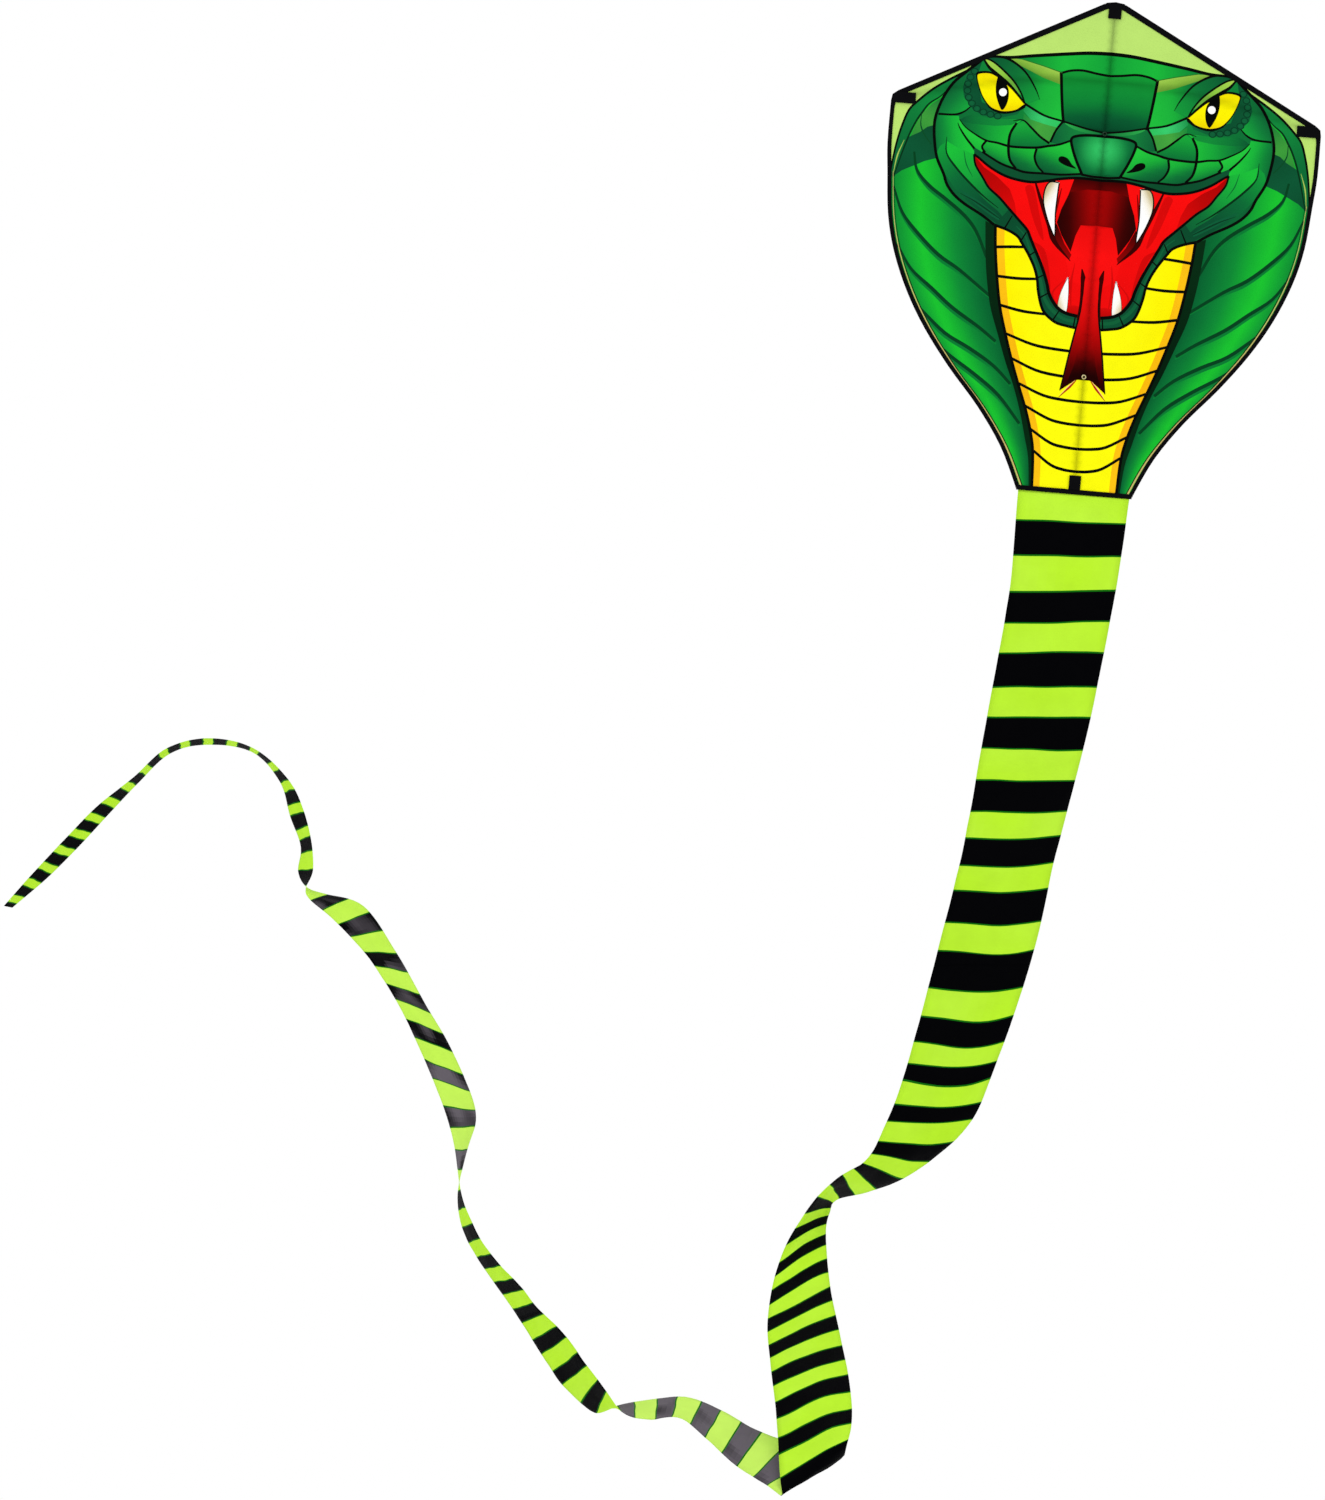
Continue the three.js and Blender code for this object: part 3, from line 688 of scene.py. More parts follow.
def paint_corners(piece, name, colours):
    attribute = piece.data.color_attributes.new(name, "FLOAT_COLOR", "CORNER")
    rgba = np.ones((len(colours), 4), np.float32)
    rgba[:, :3] = colours
    attribute.data.foreach_set("color", rgba.ravel())


def spar_z(x):
    return SPAR_TOP - SPAR_DROP * (x / (SPAR_END - 3)) ** 2


def sail_outline(shoulder, side, foot):
    """The right half of the sail's outline, drawn in from the shoulder, the side and the foot."""
    slope = (HOOD_TOP - 2 - 43) / (14 - 341)
    drop = shoulder * math.hypot(1, slope)
    end = 341 - side
    edge = smooth(SIDE, steps=5)
    lower = [(x - side, z) for x, z in edge if FOOT + foot + 1 < z < 33 - shoulder]
    return [
        (0, HOOD_TOP - drop), (14 - shoulder / 4, HOOD_TOP - 2 - drop),
        (end, HOOD_TOP - 2 + slope * (end - 14) - drop),
        (350 - side, 36 - shoulder), *lower, (lower[-1][0] - 0.5, FOOT + foot), (0, FOOT + foot),
    ]


def contains(polygon, points):
    """Which points lie inside a polygon."""
    x, z = points[:, 0], points[:, 1]
    inside = np.zeros(len(points), bool)
    previous = polygon[-1]
    for corner in polygon:
        crosses = (corner[1] > z) != (previous[1] > z)
        with np.errstate(divide="ignore", invalid="ignore"):
            where = (previous[0] - corner[0]) * (z - corner[1]) / (previous[1] - corner[1]) + corner[0]
        inside ^= crosses & (x < where)
        previous = corner
    return inside


def printed_mesh(layers, spacing):
    """Flat triangles of the right half, cut along every ink edge, each with the layer that colours it."""
    outline = sail_outline(0.8, 0.8, 0.8)
    seen = sail_outline(8, 6, 7)
    loops = [np.array(outline), np.array(seen)] + [polygon for polygon, _ in layers[1:]]
    points, edges = [], []
    for loop in loops:
        first = len(points)
        points += [Vector((float(x), float(z))) for x, z in loop]
        edges += [(first + i, first + (i + 1) % len(loop)) for i in range(len(loop))]
    own = np.array([(x, z) for z in np.arange(FOOT, HOOD_TOP, spacing) for x in np.arange(spacing, 352,
        spacing)])
    rows = np.round((own[:, 1] - FOOT) / spacing).astype(int) % 2
    own[:, 0] += rows * spacing / 2
    points += [Vector(point) for point in own[contains(np.array(outline), own)].tolist()]
    first = len(points)
    spine = [(0.0, z) for z in np.arange(FOOT + 6, HOOD_TOP - 8, spacing)]
    points += [Vector(point) for point in spine]
    edges += [(first + i, first + i + 1) for i in range(len(spine) - 1)]
    verts, _, faces, _, _, _ = delaunay_2d_cdt(points, edges, [], 0, 1e-4)
    flat_points = np.array([(v.x, v.y) for v in verts])
    corners = np.array([face for face in faces if len(face) == 3])
    middles = flat_points[corners].mean(1)
    kept = contains(np.array(outline), middles) & (middles[:, 0] > 0)
    corners, middles = corners[kept], middles[kept]
    layer_of = np.zeros(len(corners), int)
    for index, (polygon, _) in enumerate(layers):
        layer_of[contains(polygon, middles)] = index
    layer_of[~contains(np.array(seen), middles)] = len(layers)
    used = np.unique(corners)
    renumber = np.full(len(flat_points), -1)
    renumber[used] = np.arange(len(used))
    flat_points = flat_points[used]
    flat_points[flat_points[:, 0] < 0.02, 0] = 0.0
    return flat_points, renumber[corners], layer_of


def rod_shade(x, z, depth):
    """Painted shadow of the rods behind the cloth: how much it darkens the print along the spine and the
    spar.
    """
    beside_spine = math.exp(-((x / 5.5) ** 2)) if z > FOOT + 25 else 0.0
    beside_spar = math.exp(-(((z - spar_z(x)) / 6.0) ** 2)) if x < SPAR_END - 16 else 0.0
    return 1 - depth * max(beside_spine, 0.85 * beside_spar)


def belly_at(x, z, height):
    """The wind's push on the cloth, nothing at the rods, the tape and the crease's foot."""
    edge = across(SIDE, z) if z < 30 else 345 - (z - 30) * 1.86
    span = min(max((x - 16) / max(edge - 24, 1), 0.0), 1.0)
    foot = min(max((z - FOOT) / 190, 0.0), 1.0)
    from_spar = abs(z - spar_z(x))
    near = min(from_spar / 120, 1.0)
    top = min(max((HOOD_TOP - 10 - z - x * 0.5227) / 60, 0.0), 1.0) if z > 0 else 1.0
    flutter = 0.14 * noise.noise(Vector((x / 60, z / 85, 3.1)))
    return height * (math.sin(math.pi * span) ** 1.1 + flutter * min(span * 8, 1) * min((1 - span) * 8,
        1)) * foot * near * top


def sail_half(name, side, layers, flat_points, corners, layer_of, settings, material):
    """One half of the printed sail: a front skin and a paler back skin, joined at the rim."""
    front = np.zeros((len(flat_points), 3))
    for i, (x, z) in enumerate(flat_points):
        front[i] = (side * x, belly_at(x, z, settings.belly / MM), z)
    back = front + [0, settings.thickness / MM, 0]
    order = corners if side > 0 else corners[:, ::-1]
    count = len(front)
    faces = order.tolist() + (order[:, ::-1] + count).tolist()
    seen = {}
    for a, b, c in order.tolist():
        for edge in ((a, b), (b, c), (c, a)):
            seen[edge] = True
    rim = [edge for edge in seen if (edge[1], edge[0]) not in seen]
    faces += [(b, a, a + count, b + count) for a, b in rim]
    piece = new_piece(name, np.vstack([front, back]) * MM, faces, material)
    # Painted shadow of the rods, multiplied into the front skin's print colours.
    shades = [rod_shade(x, z, settings.rod_shade) for x, z in flat_points]
    colours = []
    unlean = flat_points[:, 1] + DROOP * flat_points[:, 0]
    pale = ink("CFE8B0")
    for face, layer in zip(order.tolist(), layer_of):
        paint = layers[layer][1]
        colours += [paint(flat_points[k][0], unlean[k]) * shades[k] for k in face]
    back_colours = []
    for face, layer in zip(order[:, ::-1].tolist(), layer_of):
        paint = layers[layer][1]
        back_colours += [paint(flat_points[k][0], unlean[k]) * 0.62 + pale * 0.2 for k in face]
    rim_colours = [BLACK] * (4 * len(rim))
    paint_corners(piece, "print", np.array(colours + back_colours + rim_colours))
    shade_smooth(piece)
    return piece


# ---------------------------------------------------------------------------------------------
# The tail


# The ribbon's two edges as they look from straight in front, from the foot of the sail to the loose end, in
# millimetres on the sail's plane: x and z of the first edge, x and z of the second, and how far behind the
# sail their middle lies.
TAIL_SEEN = [
    (-91, -594, 91, -591, 0), (-90, -761, 80, -746, 15), (-110, -970, 56, -958, 60),
    (-129, -1173, 25, -1156, 120), (-162, -1373, -5, -1359, 190), (-195, -1564, -54, -1547, 250),
    (-222, -1655, -90, -1640, 270), (-245, -1700, -165, -1714, 260), (-270, -1722, -238, -1752, 230),
    (-303, -1748, -287, -1768, 185), (-345, -1810, -297, -1790, 110), (-374, -1890, -299, -1835, 10),
    (-382, -1975, -285, -1915, -110), (-372, -2045, -262, -1990, -225), (-358, -2115, -242, -2060, -325),
    (-347, -2185, -232, -2125, -405), (-338, -2240, -236, -2165, -450), (-334, -2260, -243, -2190, -445),
    (-350, -2252, -268, -2184, -425), (-380, -2235, -325, -2172, -400), (-420, -2210, -388, -2154, -370),
    (-465, -2178, -442, -2132, -335), (-510, -2148, -500, -2112, -300), (-560, -2152, -560, -2123, -265),
    (-606, -2146, -612, -2134, -230), (-636, -2110, -652, -2148, -195), (-665, -2078, -703, -2112, -155),
    (-700, -2038, -738, -2070, -110), (-752, -1994, -785, -2010, -45), (-797, -1949, -828, -1957, 20),
    (-843, -1908, -866, -1914, 75), (-876, -1862, -893, -1870, 120), (-900, -1808, -904, -1812, 160),
    (-916, -1740, -893, -1738, 200), (-930, -1697, -885, -1692, 225), (-960, -1633, -898, -1648, 255),
    (-1003, -1553, -940, -1572, 300), (-1045, -1486, -988, -1503, 340), (-1092, -1430, -1040, -1427, 380),
    (-1145, -1384, -1097, -1359, 420), (-1185, -1355, -1160, -1345, 450),
    (-1194, -1338, -1192, -1336, 470), (-1186, -1308, -1207, -1312, 495),
    (-1192, -1262, -1206, -1270, 520), (-1208, -1212, -1230, -1220, 550),
    (-1240, -1160, -1252, -1166, 585), (-1300, -1117, -1302, -1123, 625),
    (-1373, -1108, -1373, -1117, 665), (-1440, -1130, -1434, -1138, 700),
    (-1492, -1184, -1480, -1188, 730), (-1544, -1234, -1521, -1240, 760),
    (-1589, -1287, -1563, -1293, 795), (-1637, -1348, -1615, -1356, 830),
    (-1682, -1408, -1668, -1410, 860),
]
SEEN_FROM = (-633, -1063)  # x and z of the eye
SEEN_DISTANCE = 6500  # from the eye to the sail
SEEN_WIDTHS = (182, 40)  # the ribbon's width at its root and at its loose end, as these stations were drawn


def out_to_depth(x, z, depth):
    """Where a point seen on the sail's plane really stands, at its depth behind the sail."""
    away = 1 + depth / SEEN_DISTANCE
    return SEEN_FROM[0] + (x - SEEN_FROM[0]) * away, SEEN_FROM[1] + (z - SEEN_FROM[1]) * away


def placed_stations():
    """The seen stations moved out to their depths; each edge leans by what the ribbon's width leaves."""
    middles = []
    for ax, az, bx, bz, depth in TAIL_SEEN:
        x, z = out_to_depth((ax + bx) / 2, (az + bz) / 2, depth)
        middles.append((x, depth, z))
    lengths = [0.0]
    for before, here in zip(middles, middles[1:]):
        lengths.append(lengths[-1] + math.dist(here, before))
    stations = []
    for (ax, az, bx, bz, depth), length in zip(TAIL_SEEN, lengths):
        width = SEEN_WIDTHS[0] + (SEEN_WIDTHS[1] - SEEN_WIDTHS[0]) * length / lengths[-1]
        seen = math.hypot(bx - ax, bz - az) * (1 + depth / SEEN_DISTANCE)
        lean = math.sqrt(max(width * width - seen * seen, 0)) / 2
        first, second = out_to_depth(ax, az, depth - lean), out_to_depth(bx, bz, depth + lean)
        stations.append((*map(round, first), *map(round, second), depth))
    return stations


TAIL_STATIONS = placed_stations()
BEND_STATIONS = {"tail_root": 0, "tail_bend_1": 8, "tail_bend_2": 17, "tail_bend_3": 24,
    "tail_bend_4": 32, "tail_bend_5": 41}
RIBBON_ENDS = [0, 4, 12, 20, 28, 36, 53]


class Ribbon:
    """The tail's two edges as soft curves, with the distance along the middle."""

    def __init__(self, settings):
        rows = np.array(TAIL_STATIONS, float)
        middles = np.stack([(rows[:, 0] + rows[:, 2]) / 2, rows[:, 4], (rows[:, 1] + rows[:, 3]) / 2], 1)
        self.distance = np.concatenate([[0], np.cumsum(np.linalg.norm(np.diff(middles, axis=0), axis=1))])
        self.length = self.distance[-1]
        share = self.distance / self.length
        width = (settings.root_width * (1 - share) + settings.end_width * share) / MM
        seen = np.hypot(rows[:, 2] - rows[:, 0], rows[:, 3] - rows[:, 1])
        lean = np.sqrt(np.maximum(width**2 - seen**2, 0)) / 2
        self.first = np.stack([rows[:, 0], rows[:, 4] - lean, rows[:, 1]], 1)
        self.second = np.stack([rows[:, 2], rows[:, 4] + lean, rows[:, 3]], 1)
        self.width = width
        self.last = len(rows) - 1

    def edge(self, points, station):
        i = min(int(station), self.last - 1)
        before = points[i - 1] if i else 2 * points[0] - points[1]
        after = points[i + 2] if i + 2 <= self.last else 2 * points[-1] - points[-2]
        return catmull(before, points[i], points[i + 1], after, station - i)

    def row(self, station):
        return self.edge(self.first, station), self.edge(self.second, station)

    def middle(self, station):
        a, b = self.row(station)
        return (a + b) / 2

    def station_at(self, distance):
        return float(np.interp(distance, self.distance, np.arange(self.last + 1)))

    def distance_at(self, station):
        return float(np.interp(station, np.arange(self.last + 1), self.distance))


# Where the first black bands start and end, and how the later ones are spaced, in millimetres of tail.
FIRST_BANDS = [
    (45, 102), (158, 212), (265, 318), (371, 424), (481, 533), (581, 628), (676, 732), (787, 850), (902, 945),
    (990, 1024), (1063, 1098),
]
PITCH_PLACES = [1100, 1700, 2095, 2475, 3000, 3060, 3700, 3800, 4683]
PITCHES = [76, 76, 78, 74, 68, 80, 82, 50, 46]
BLACK_SHARES = [0.45, 0.45, 0.45, 0.4, 0.45, 0.42, 0.42, 0.5, 0.5]


def band_edges(length):
    """Where each black band starts and ends along the tail."""
    bands = list(FIRST_BANDS)
    place = 1148.0
    while place < length - 8:
        pitch = float(np.interp(place, PITCH_PLACES, PITCHES))
        share = float(np.interp(place, PITCH_PLACES, BLACK_SHARES))
        bands.append((place, min(place + pitch * share, length)))
        place += pitch
    return bands


def band_sag(distance, share):
    """How far the bands sag along the tail between its two edges."""
    depth = np.interp(distance, [0, 350, 650, 950, 1200, 1500, 1900, 2300], [0, -1, 5, 13, 4, -9, -7, 0])
    place = max(min(share, 1.0), 0.0)
    curve = math.sin(math.pi * place**1.35)
    wobble = noise.noise(Vector((distance / 45, share * 2.6, 1.3)))
    return float(depth) * curve + 2.4 * wobble * min(distance / 40, 1.0)


FRINGE = 2.6


def tail_rows(bands, start, end, step=9.0):
    """Distances of the mesh rows, with a row on each side of every colour change."""
    places = set(np.linspace(start, end, max(3, int((end - start) / step))).round(3))
    for low, high in bands:
        for place in (low - FRINGE, low, high, high + FRINGE):
            if start < place < end:
                places = {p for p in places if abs(p - place) > 0.9 or p in (start, end)}
                places.add(round(place, 3))
    return sorted(places | {start, end})


def tail_colour(distance, share, bands, front, colours):
    lime, band = (colours.lime, colours.band) if front else (colours.lime_backlit, colours.band_backlit)
    lime, band = from_picker(lime), from_picker(band)
    # The back colours are painted backlight; from 2950 mm on, that painted light gives way to the unlit front
    # colours, in patches on the bands and evenly on the lime.
    if not front:
        backlight_loss = float(np.interp(distance, [2950, 3150, 3300, 3650], [0.0, 0.25, 0.7, 0.9]))
        unlit_patch = min(max(backlight_loss + 1.2 * noise.noise(Vector((distance / 50, share * 2, 7.7))), 0), 1)
        band = band * (1 - unlit_patch) + from_picker(colours.band) * unlit_patch
        lime = lime * (1 - 0.6 * backlight_loss) + from_picker(colours.lime) * 0.6 * backlight_loss
    for low, high in bands:
        if low <= distance <= high:
            return band
        if low - FRINGE <= distance < low or high < distance <= high + FRINGE:
            return from_picker(colours.fringe)
    # Random paler patches on the lime.
    paler_share = 0.5 + 0.5 * noise.noise(Vector((distance / 90, share * 1.7, 4.1)))
    return lime * (1 - 0.35 * paler_share) + np.array([0.62, 0.95, 0.12]) * 0.35 * paler_share


def tail_ripple(distance, across_share, width):
    """Soft waves, stronger at the two edges than along the middle."""
    edge = abs(2 * across_share - 1)
    wave = noise.noise(Vector((distance / 70, across_share * width / 60, 0.7)))
    long_wave = noise.noise(Vector((distance / 190, across_share * 1.4, 5.3)))
    fine = noise.noise(Vector((distance / 22, across_share * width / 26, 9.9)))
    return (0.5 + 0.6 * edge) * wave + 1.1 * edge * long_wave + 0.16 * fine


def tail_piece(name, ribbon, bands, start, end, settings, colours, material):
    """A stretch of ribbon: a front and a back skin joined round the rim."""
    rows = tail_rows(bands, ribbon.distance_at(start), ribbon.distance_at(end))
    columns = settings.columns
    thickness = 0.45
    front, back = [], []
    tucked = [(0.0, 8.0, 1.9), (0.0, 3.0, 1.9), (0.0, 1.4, 1.2)] if start == 0 else []
    places = [*tucked, *((distance, 0.0, 0.0) for distance in rows)]
    rows = [distance - rise for distance, rise, _ in places]
    low_end, high_end = ribbon.distance_at(start), ribbon.distance_at(end)
    for distance, rise, behind_hem in places:
        for column in range(columns + 1):
            share = column / columns
            from_end = min(distance - low_end, high_end - distance) if start else high_end - distance
            sag = band_sag(distance, share) * min(max(from_end, 0) / 30, 1.0)
            station = ribbon.station_at(min(max(distance + sag, low_end), high_end))
            a, b = (edge + (0, behind_hem, rise) for edge in ribbon.row(station))
            ahead, behind = ribbon.middle(min(station + 0.05,
                ribbon.last)), ribbon.middle(max(station - 0.05, 0))
            normal = np.cross(ahead - behind, b - a)
            normal /= np.linalg.norm(normal) + 1e-9
            width = float(np.linalg.norm(b - a))
            settle = min((distance + sag) / 60, 1.0)
            lift = settings.ripple / MM * settle * tail_ripple(distance + sag, share,
                width) * min(width / 110, 1) ** 2
            middle = a + (b - a) * share + normal * lift
            front.append(middle + normal * thickness / 2)
            back.append(middle - normal * thickness / 2)
    wide = columns + 1
    count = len(front)
    faces, paints = [], []
    for i in range(len(rows) - 1):
        place = (rows[i] + rows[i + 1]) / 2
        for column in range(columns):
            share = (column + 0.5) / columns
            front_paint = tail_colour(place, share, bands, True, colours)
            back_paint = tail_colour(place, share, bands, False, colours)
            a = i * wide + column
            faces.append((a, a + wide, a + wide + 1, a + 1))
            paints += [front_paint] * 4
            faces.append((a + count, a + 1 + count, a + wide + 1 + count, a + wide + count))
            paints += [back_paint] * 4
        for a, b in ((i * wide + wide, i * wide), (i * wide + columns, i * wide + columns + wide)):
            faces.append((a, b, b + count, a + count))
            paints += [front_paint] * 4
    last = (len(rows) - 1) * wide
    for column in range(columns):
        faces.append((column, column + 1, column + 1 + count, column + count))
        faces.append((last + column + 1, last + column, last + column + count, last + column + 1 + count))
        paints += [BLACK] * 8
    piece = new_piece(name, np.array(front + back) * MM, faces, material)
    paint_corners(piece, "print", np.array(paints))
    shade_smooth(piece)
    return piece


# ---------------------------------------------------------------------------------------------
# Materials


class Shader:
    """A small hand for wiring one material's nodes."""

    def __init__(self, name):
        self.material = bpy.data.materials.new(name)
        self.material.use_nodes = True
        self.nodes = self.material.node_tree.nodes
        self.links = self.material.node_tree.links
        self.base = self.nodes["Principled BSDF"]

    def node(self, kind, inputs=None, **settings):
        node = self.nodes.new(kind)
        for key, value in settings.items():
            setattr(node, key, value)
        for key, value in (inputs or {}).items():
            if isinstance(value, bpy.types.NodeSocket):
                self.links.new(value, node.inputs[key])
            else:
                node.inputs[key].default_value = value
        return node

    def place(self):
        return self.node("ShaderNodeTexCoord").outputs["Object"]

    def math(self, operation, a, b=0.0):
        return self.node("ShaderNodeMath", {0: a, 1: b}, operation=operation).outputs[0]

    def noise(self, scale, detail=3.0, vector=None):
        made = self.node("ShaderNodeTexNoise", {"Scale": scale, "Detail": detail,
            "Vector": vector or self.place()})
        return made.outputs["Fac"]

    def wave(self, scale, direction, vector=None):
        made = self.node(
            "ShaderNodeTexWave", {"Scale": scale, "Vector": vector or self.place()},
                bands_direction=direction,
        )
        return made.outputs["Fac"]

    def ramp(self, factor, low, high):
        node = self.node("ShaderNodeMapRange", {"Value": factor, "To Min": low, "To Max": high})
        return node.outputs["Result"]

    def mix(self, factor, a, b, blend="MIX"):
        node = self.node("ShaderNodeMix", data_type="RGBA", blend_type=blend)
        for socket, value in ((node.inputs[0], factor), (node.inputs[6], a), (node.inputs[7], b)):
            if isinstance(value, bpy.types.NodeSocket):
                self.links.new(value, socket)
            else:
                socket.default_value = value
        return node.outputs[2]

    def bump(self, height, strength, distance):
        node = self.node("ShaderNodeBump", {"Height": height, "Strength": strength, "Distance": distance})
        self.links.new(node.outputs["Normal"], self.base.inputs["Normal"])

    def feed(self, socket, value):
        if isinstance(value, bpy.types.NodeSocket):
            self.links.new(value, self.base.inputs[socket])
        else:
            self.base.inputs[socket].default_value = value


def printed_cloth(name, weave, ripstop, sheen):
    """Printed woven cloth: a fine weave, a ripstop grid and uneven ink."""
    made = Shader(name)
    print_colour = made.node("ShaderNodeAttribute", attribute_name="print").outputs["Color"]
    warp = made.wave(weave, "X")
    weft = made.wave(weave, "Z")
    threads = made.math("ADD", warp, weft)
    grid = made.math("MAXIMUM", made.wave(ripstop, "X"), made.wave(ripstop, "Z"))
    ridges = made.math("POWER", grid, 14.0)
    uneven = made.noise(34.0, 4.0)
    worn = made.noise(7.0, 2.0)
    tone = made.math("MULTIPLY", made.ramp(uneven, 0.86, 0.99), made.ramp(worn, 0.94, 1.02))
    woven = made.math("MULTIPLY", tone, made.ramp(threads, 0.985, 1.008))
    grey = made.node("ShaderNodeCombineColor", {"Red": woven, "Green": woven, "Blue": woven}).outputs["Color"]
    colour = made.mix(1.0, print_colour, grey, "MULTIPLY")
    made.feed("Base Color", colour)
    made.feed("Roughness", made.ramp(made.noise(60.0), 0.62, 0.78))
    made.feed("Sheen Weight", sheen)
    made.feed("Sheen Roughness", 0.4)
    made.feed("Specular IOR Level", 0.02)
    height = made.math("ADD", made.math("MULTIPLY", threads, 0.3), made.math("MULTIPLY", ridges, 0.8))
    made.bump(made.math("ADD", height, made.math("MULTIPLY", uneven, 0.6)), 0.25, 0.0006)
    return made.material


def webbing(name, tone=(0.002, 0.002, 0.0025)):
    """Black woven tape with a herringbone rib and dusty edges."""
    made = Shader(name)
    rib = made.wave(520.0, "DIAGONAL")
    cross = made.wave(430.0, "X")
    dust = made.noise(46.0, 5.0)
    pattern = made.math("MULTIPLY", rib, cross)
    dark = (*tone, 1)
    pale = (tone[0] * 3.4, tone[1] * 3.4, tone[2] * 3.6, 1)
    woven = made.mix(made.ramp(pattern, 0.0, 0.7), dark, pale)
    made.feed("Base Color", made.mix(made.ramp(dust, 0.0, 0.3), woven, (0.009, 0.009, 0.01, 1)))
    made.feed("Roughness", made.ramp(dust, 0.66, 0.88))
    made.feed("Sheen Weight", 0.005)
    made.feed("Specular IOR Level", 0.008)
    made.bump(made.math("ADD", pattern, made.math("MULTIPLY", dust, 0.4)), 0.5, 0.0005)
    return made.material


def fibre_rod():
    """Pultruded glass-fibre rod: long streaks under a thin clear skin."""
    made = Shader("Glass fibre rod")
    stretch = made.node("ShaderNodeMapping", {"Vector": made.place(), "Scale": (420.0, 420.0, 9.0)})
    streaks = made.noise(1.0, 5.0, stretch.outputs["Vector"])
    made.feed("Base Color", made.mix(made.ramp(streaks, 0.1, 0.9), (0.012, 0.012, 0.014, 1),
        (0.06, 0.06, 0.066, 1)))
    made.feed("Roughness", made.ramp(streaks, 0.28, 0.46))
    made.feed("Coat Weight", 0.25)
    made.feed("Coat Roughness", 0.2)
    made.bump(streaks, 0.25, 0.0003)
    return made.material


def moulded(name, dark, pale, low, high):
    """Moulded plastic or vinyl with a fine grain and rubbed spots."""
    made = Shader(name)
    grain = made.noise(900.0, 2.0)
    rubbed = made.noise(70.0, 5.0)
    made.feed("Base Color", made.mix(made.ramp(rubbed, 0.0, 1.0), (*dark, 1), (*pale, 1)))
    made.feed("Roughness", made.ramp(rubbed, low, high))
    made.bump(grain, 0.2, 0.0003)
    return made.material


def bright_metal(name, colour):
    """Plated brass or steel with turning marks and small tarnish spots."""
    made = Shader(name)
    turned = made.wave(900.0, "Z")
    spots = made.noise(160.0, 6.0)
    made.feed("Metallic", 1.0)
    made.feed("Base Color", made.mix(made.ramp(spots, 0.0, 0.6), (*colour, 1),
        (colour[0] * 0.6, colour[1] * 0.55, colour[2] * 0.45, 1)))
    made.feed("Roughness", made.ramp(spots, 0.2, 0.42))
    made.bump(turned, 0.15, 0.0002)
    return made.material


def floor_paint():
    made = Shader("Pale floor")
    soft = made.noise(1.6, 3.0)
    made.feed("Base Color", made.mix(soft, (0.88, 0.88, 0.88, 1), (0.93, 0.93, 0.925, 1)))
    made.feed("Roughness", made.ramp(made.noise(20.0), 0.7, 0.9))
    return made.material


# ---------------------------------------------------------------------------------------------
# Operators


class KITE_OT_stage(bpy.types.Operator):
    """Camera, soft studio light and a pale floor"""

    bl_idname = "kite.stage"
    bl_label = "Stage"

    def execute(self, context):
        scene = context.scene
        scene.view_settings.view_transform = "Standard"
        world = bpy.data.worlds.new("Studio")
        world.use_nodes = True
        world.node_tree.nodes["Background"].inputs["Color"].default_value = (1, 1, 1, 1)
        world.node_tree.nodes["Background"].inputs["Strength"].default_value = 1.0
        scene.world = world
        distance = 6.5
        camera_data = bpy.data.cameras.new("Camera")
        camera_data.sensor_fit = "VERTICAL"
        camera_data.sensor_height = 36
        camera_data.sensor_width = 36
        camera_data.lens = 36 * distance / (1500 * 1.632 * MM)
        camera = bpy.data.objects.new("Camera", camera_data)
        camera.location = (-0.633, -distance, -1.063)
        camera.rotation_euler = (Matrix.Rotation(math.radians(-4.9), 3,
            "Y") @ Matrix.Rotation(math.pi / 2, 3, "X")).to_euler()
        scene.collection.objects.link(camera)
        scene.camera = camera
        lamps = [
            ("Key", (-3.2, -5.0, 3.2), 3.5, 60), ("Fill", (3.6, -4.2, -0.5), 3.0, 22),
            ("Back", (1.5, 4.5, 2.0), 3.0, 40),
        ]
        target = Vector((-0.5, 0, -0.9))
        for name, place, size, power in lamps:
            data = bpy.data.lights.new(name, "AREA")
            data.size = size
            data.energy = power
            lamp = bpy.data.objects.new(name, data)
            lamp.location = place
            lamp.rotation_euler = (target - Vector(place)).to_track_quat("-Z", "Y").to_euler()
            scene.collection.objects.link(lamp)
        bpy.ops.mesh.primitive_circle_add(vertices=96, radius=3.1, fill_type="NGON",
            location=(-0.633, 0, -2.95))
        floor = context.active_object
        floor.name = "floor"
        floor.data.materials.append(floor_paint())
        return {"FINISHED"}


class KITE_OT_sail(bpy.types.Operator):
    """The printed sail, one half on each side of the spine"""

    bl_idname = "kite.sail"
    bl_label = "Printed sail"

    def execute(self, context):
        settings = context.scene.kite_sail
        ground = from_picker(context.scene.kite_colours.ground)
        layers = cobra_print(ground)
        flat_points, corners, layer_of = printed_mesh(layers, settings.grid / MM)
        layers.append((None, flat("050705")))
        if not len(corners):
            raise RuntimeError("the sail's print has no faces")
        material = printed_cloth("Printed ripstop", 1500.0, 62.0, 0.005)
        for word, side in (("right", 1), ("left", -1)):
            piece = sail_half(f"sail_print_{word}", side, layers, flat_points, corners, layer_of,
                settings, material)
            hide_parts(f"sail_{word}", "sail_middle")
            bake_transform(piece)
        return {"FINISHED"}


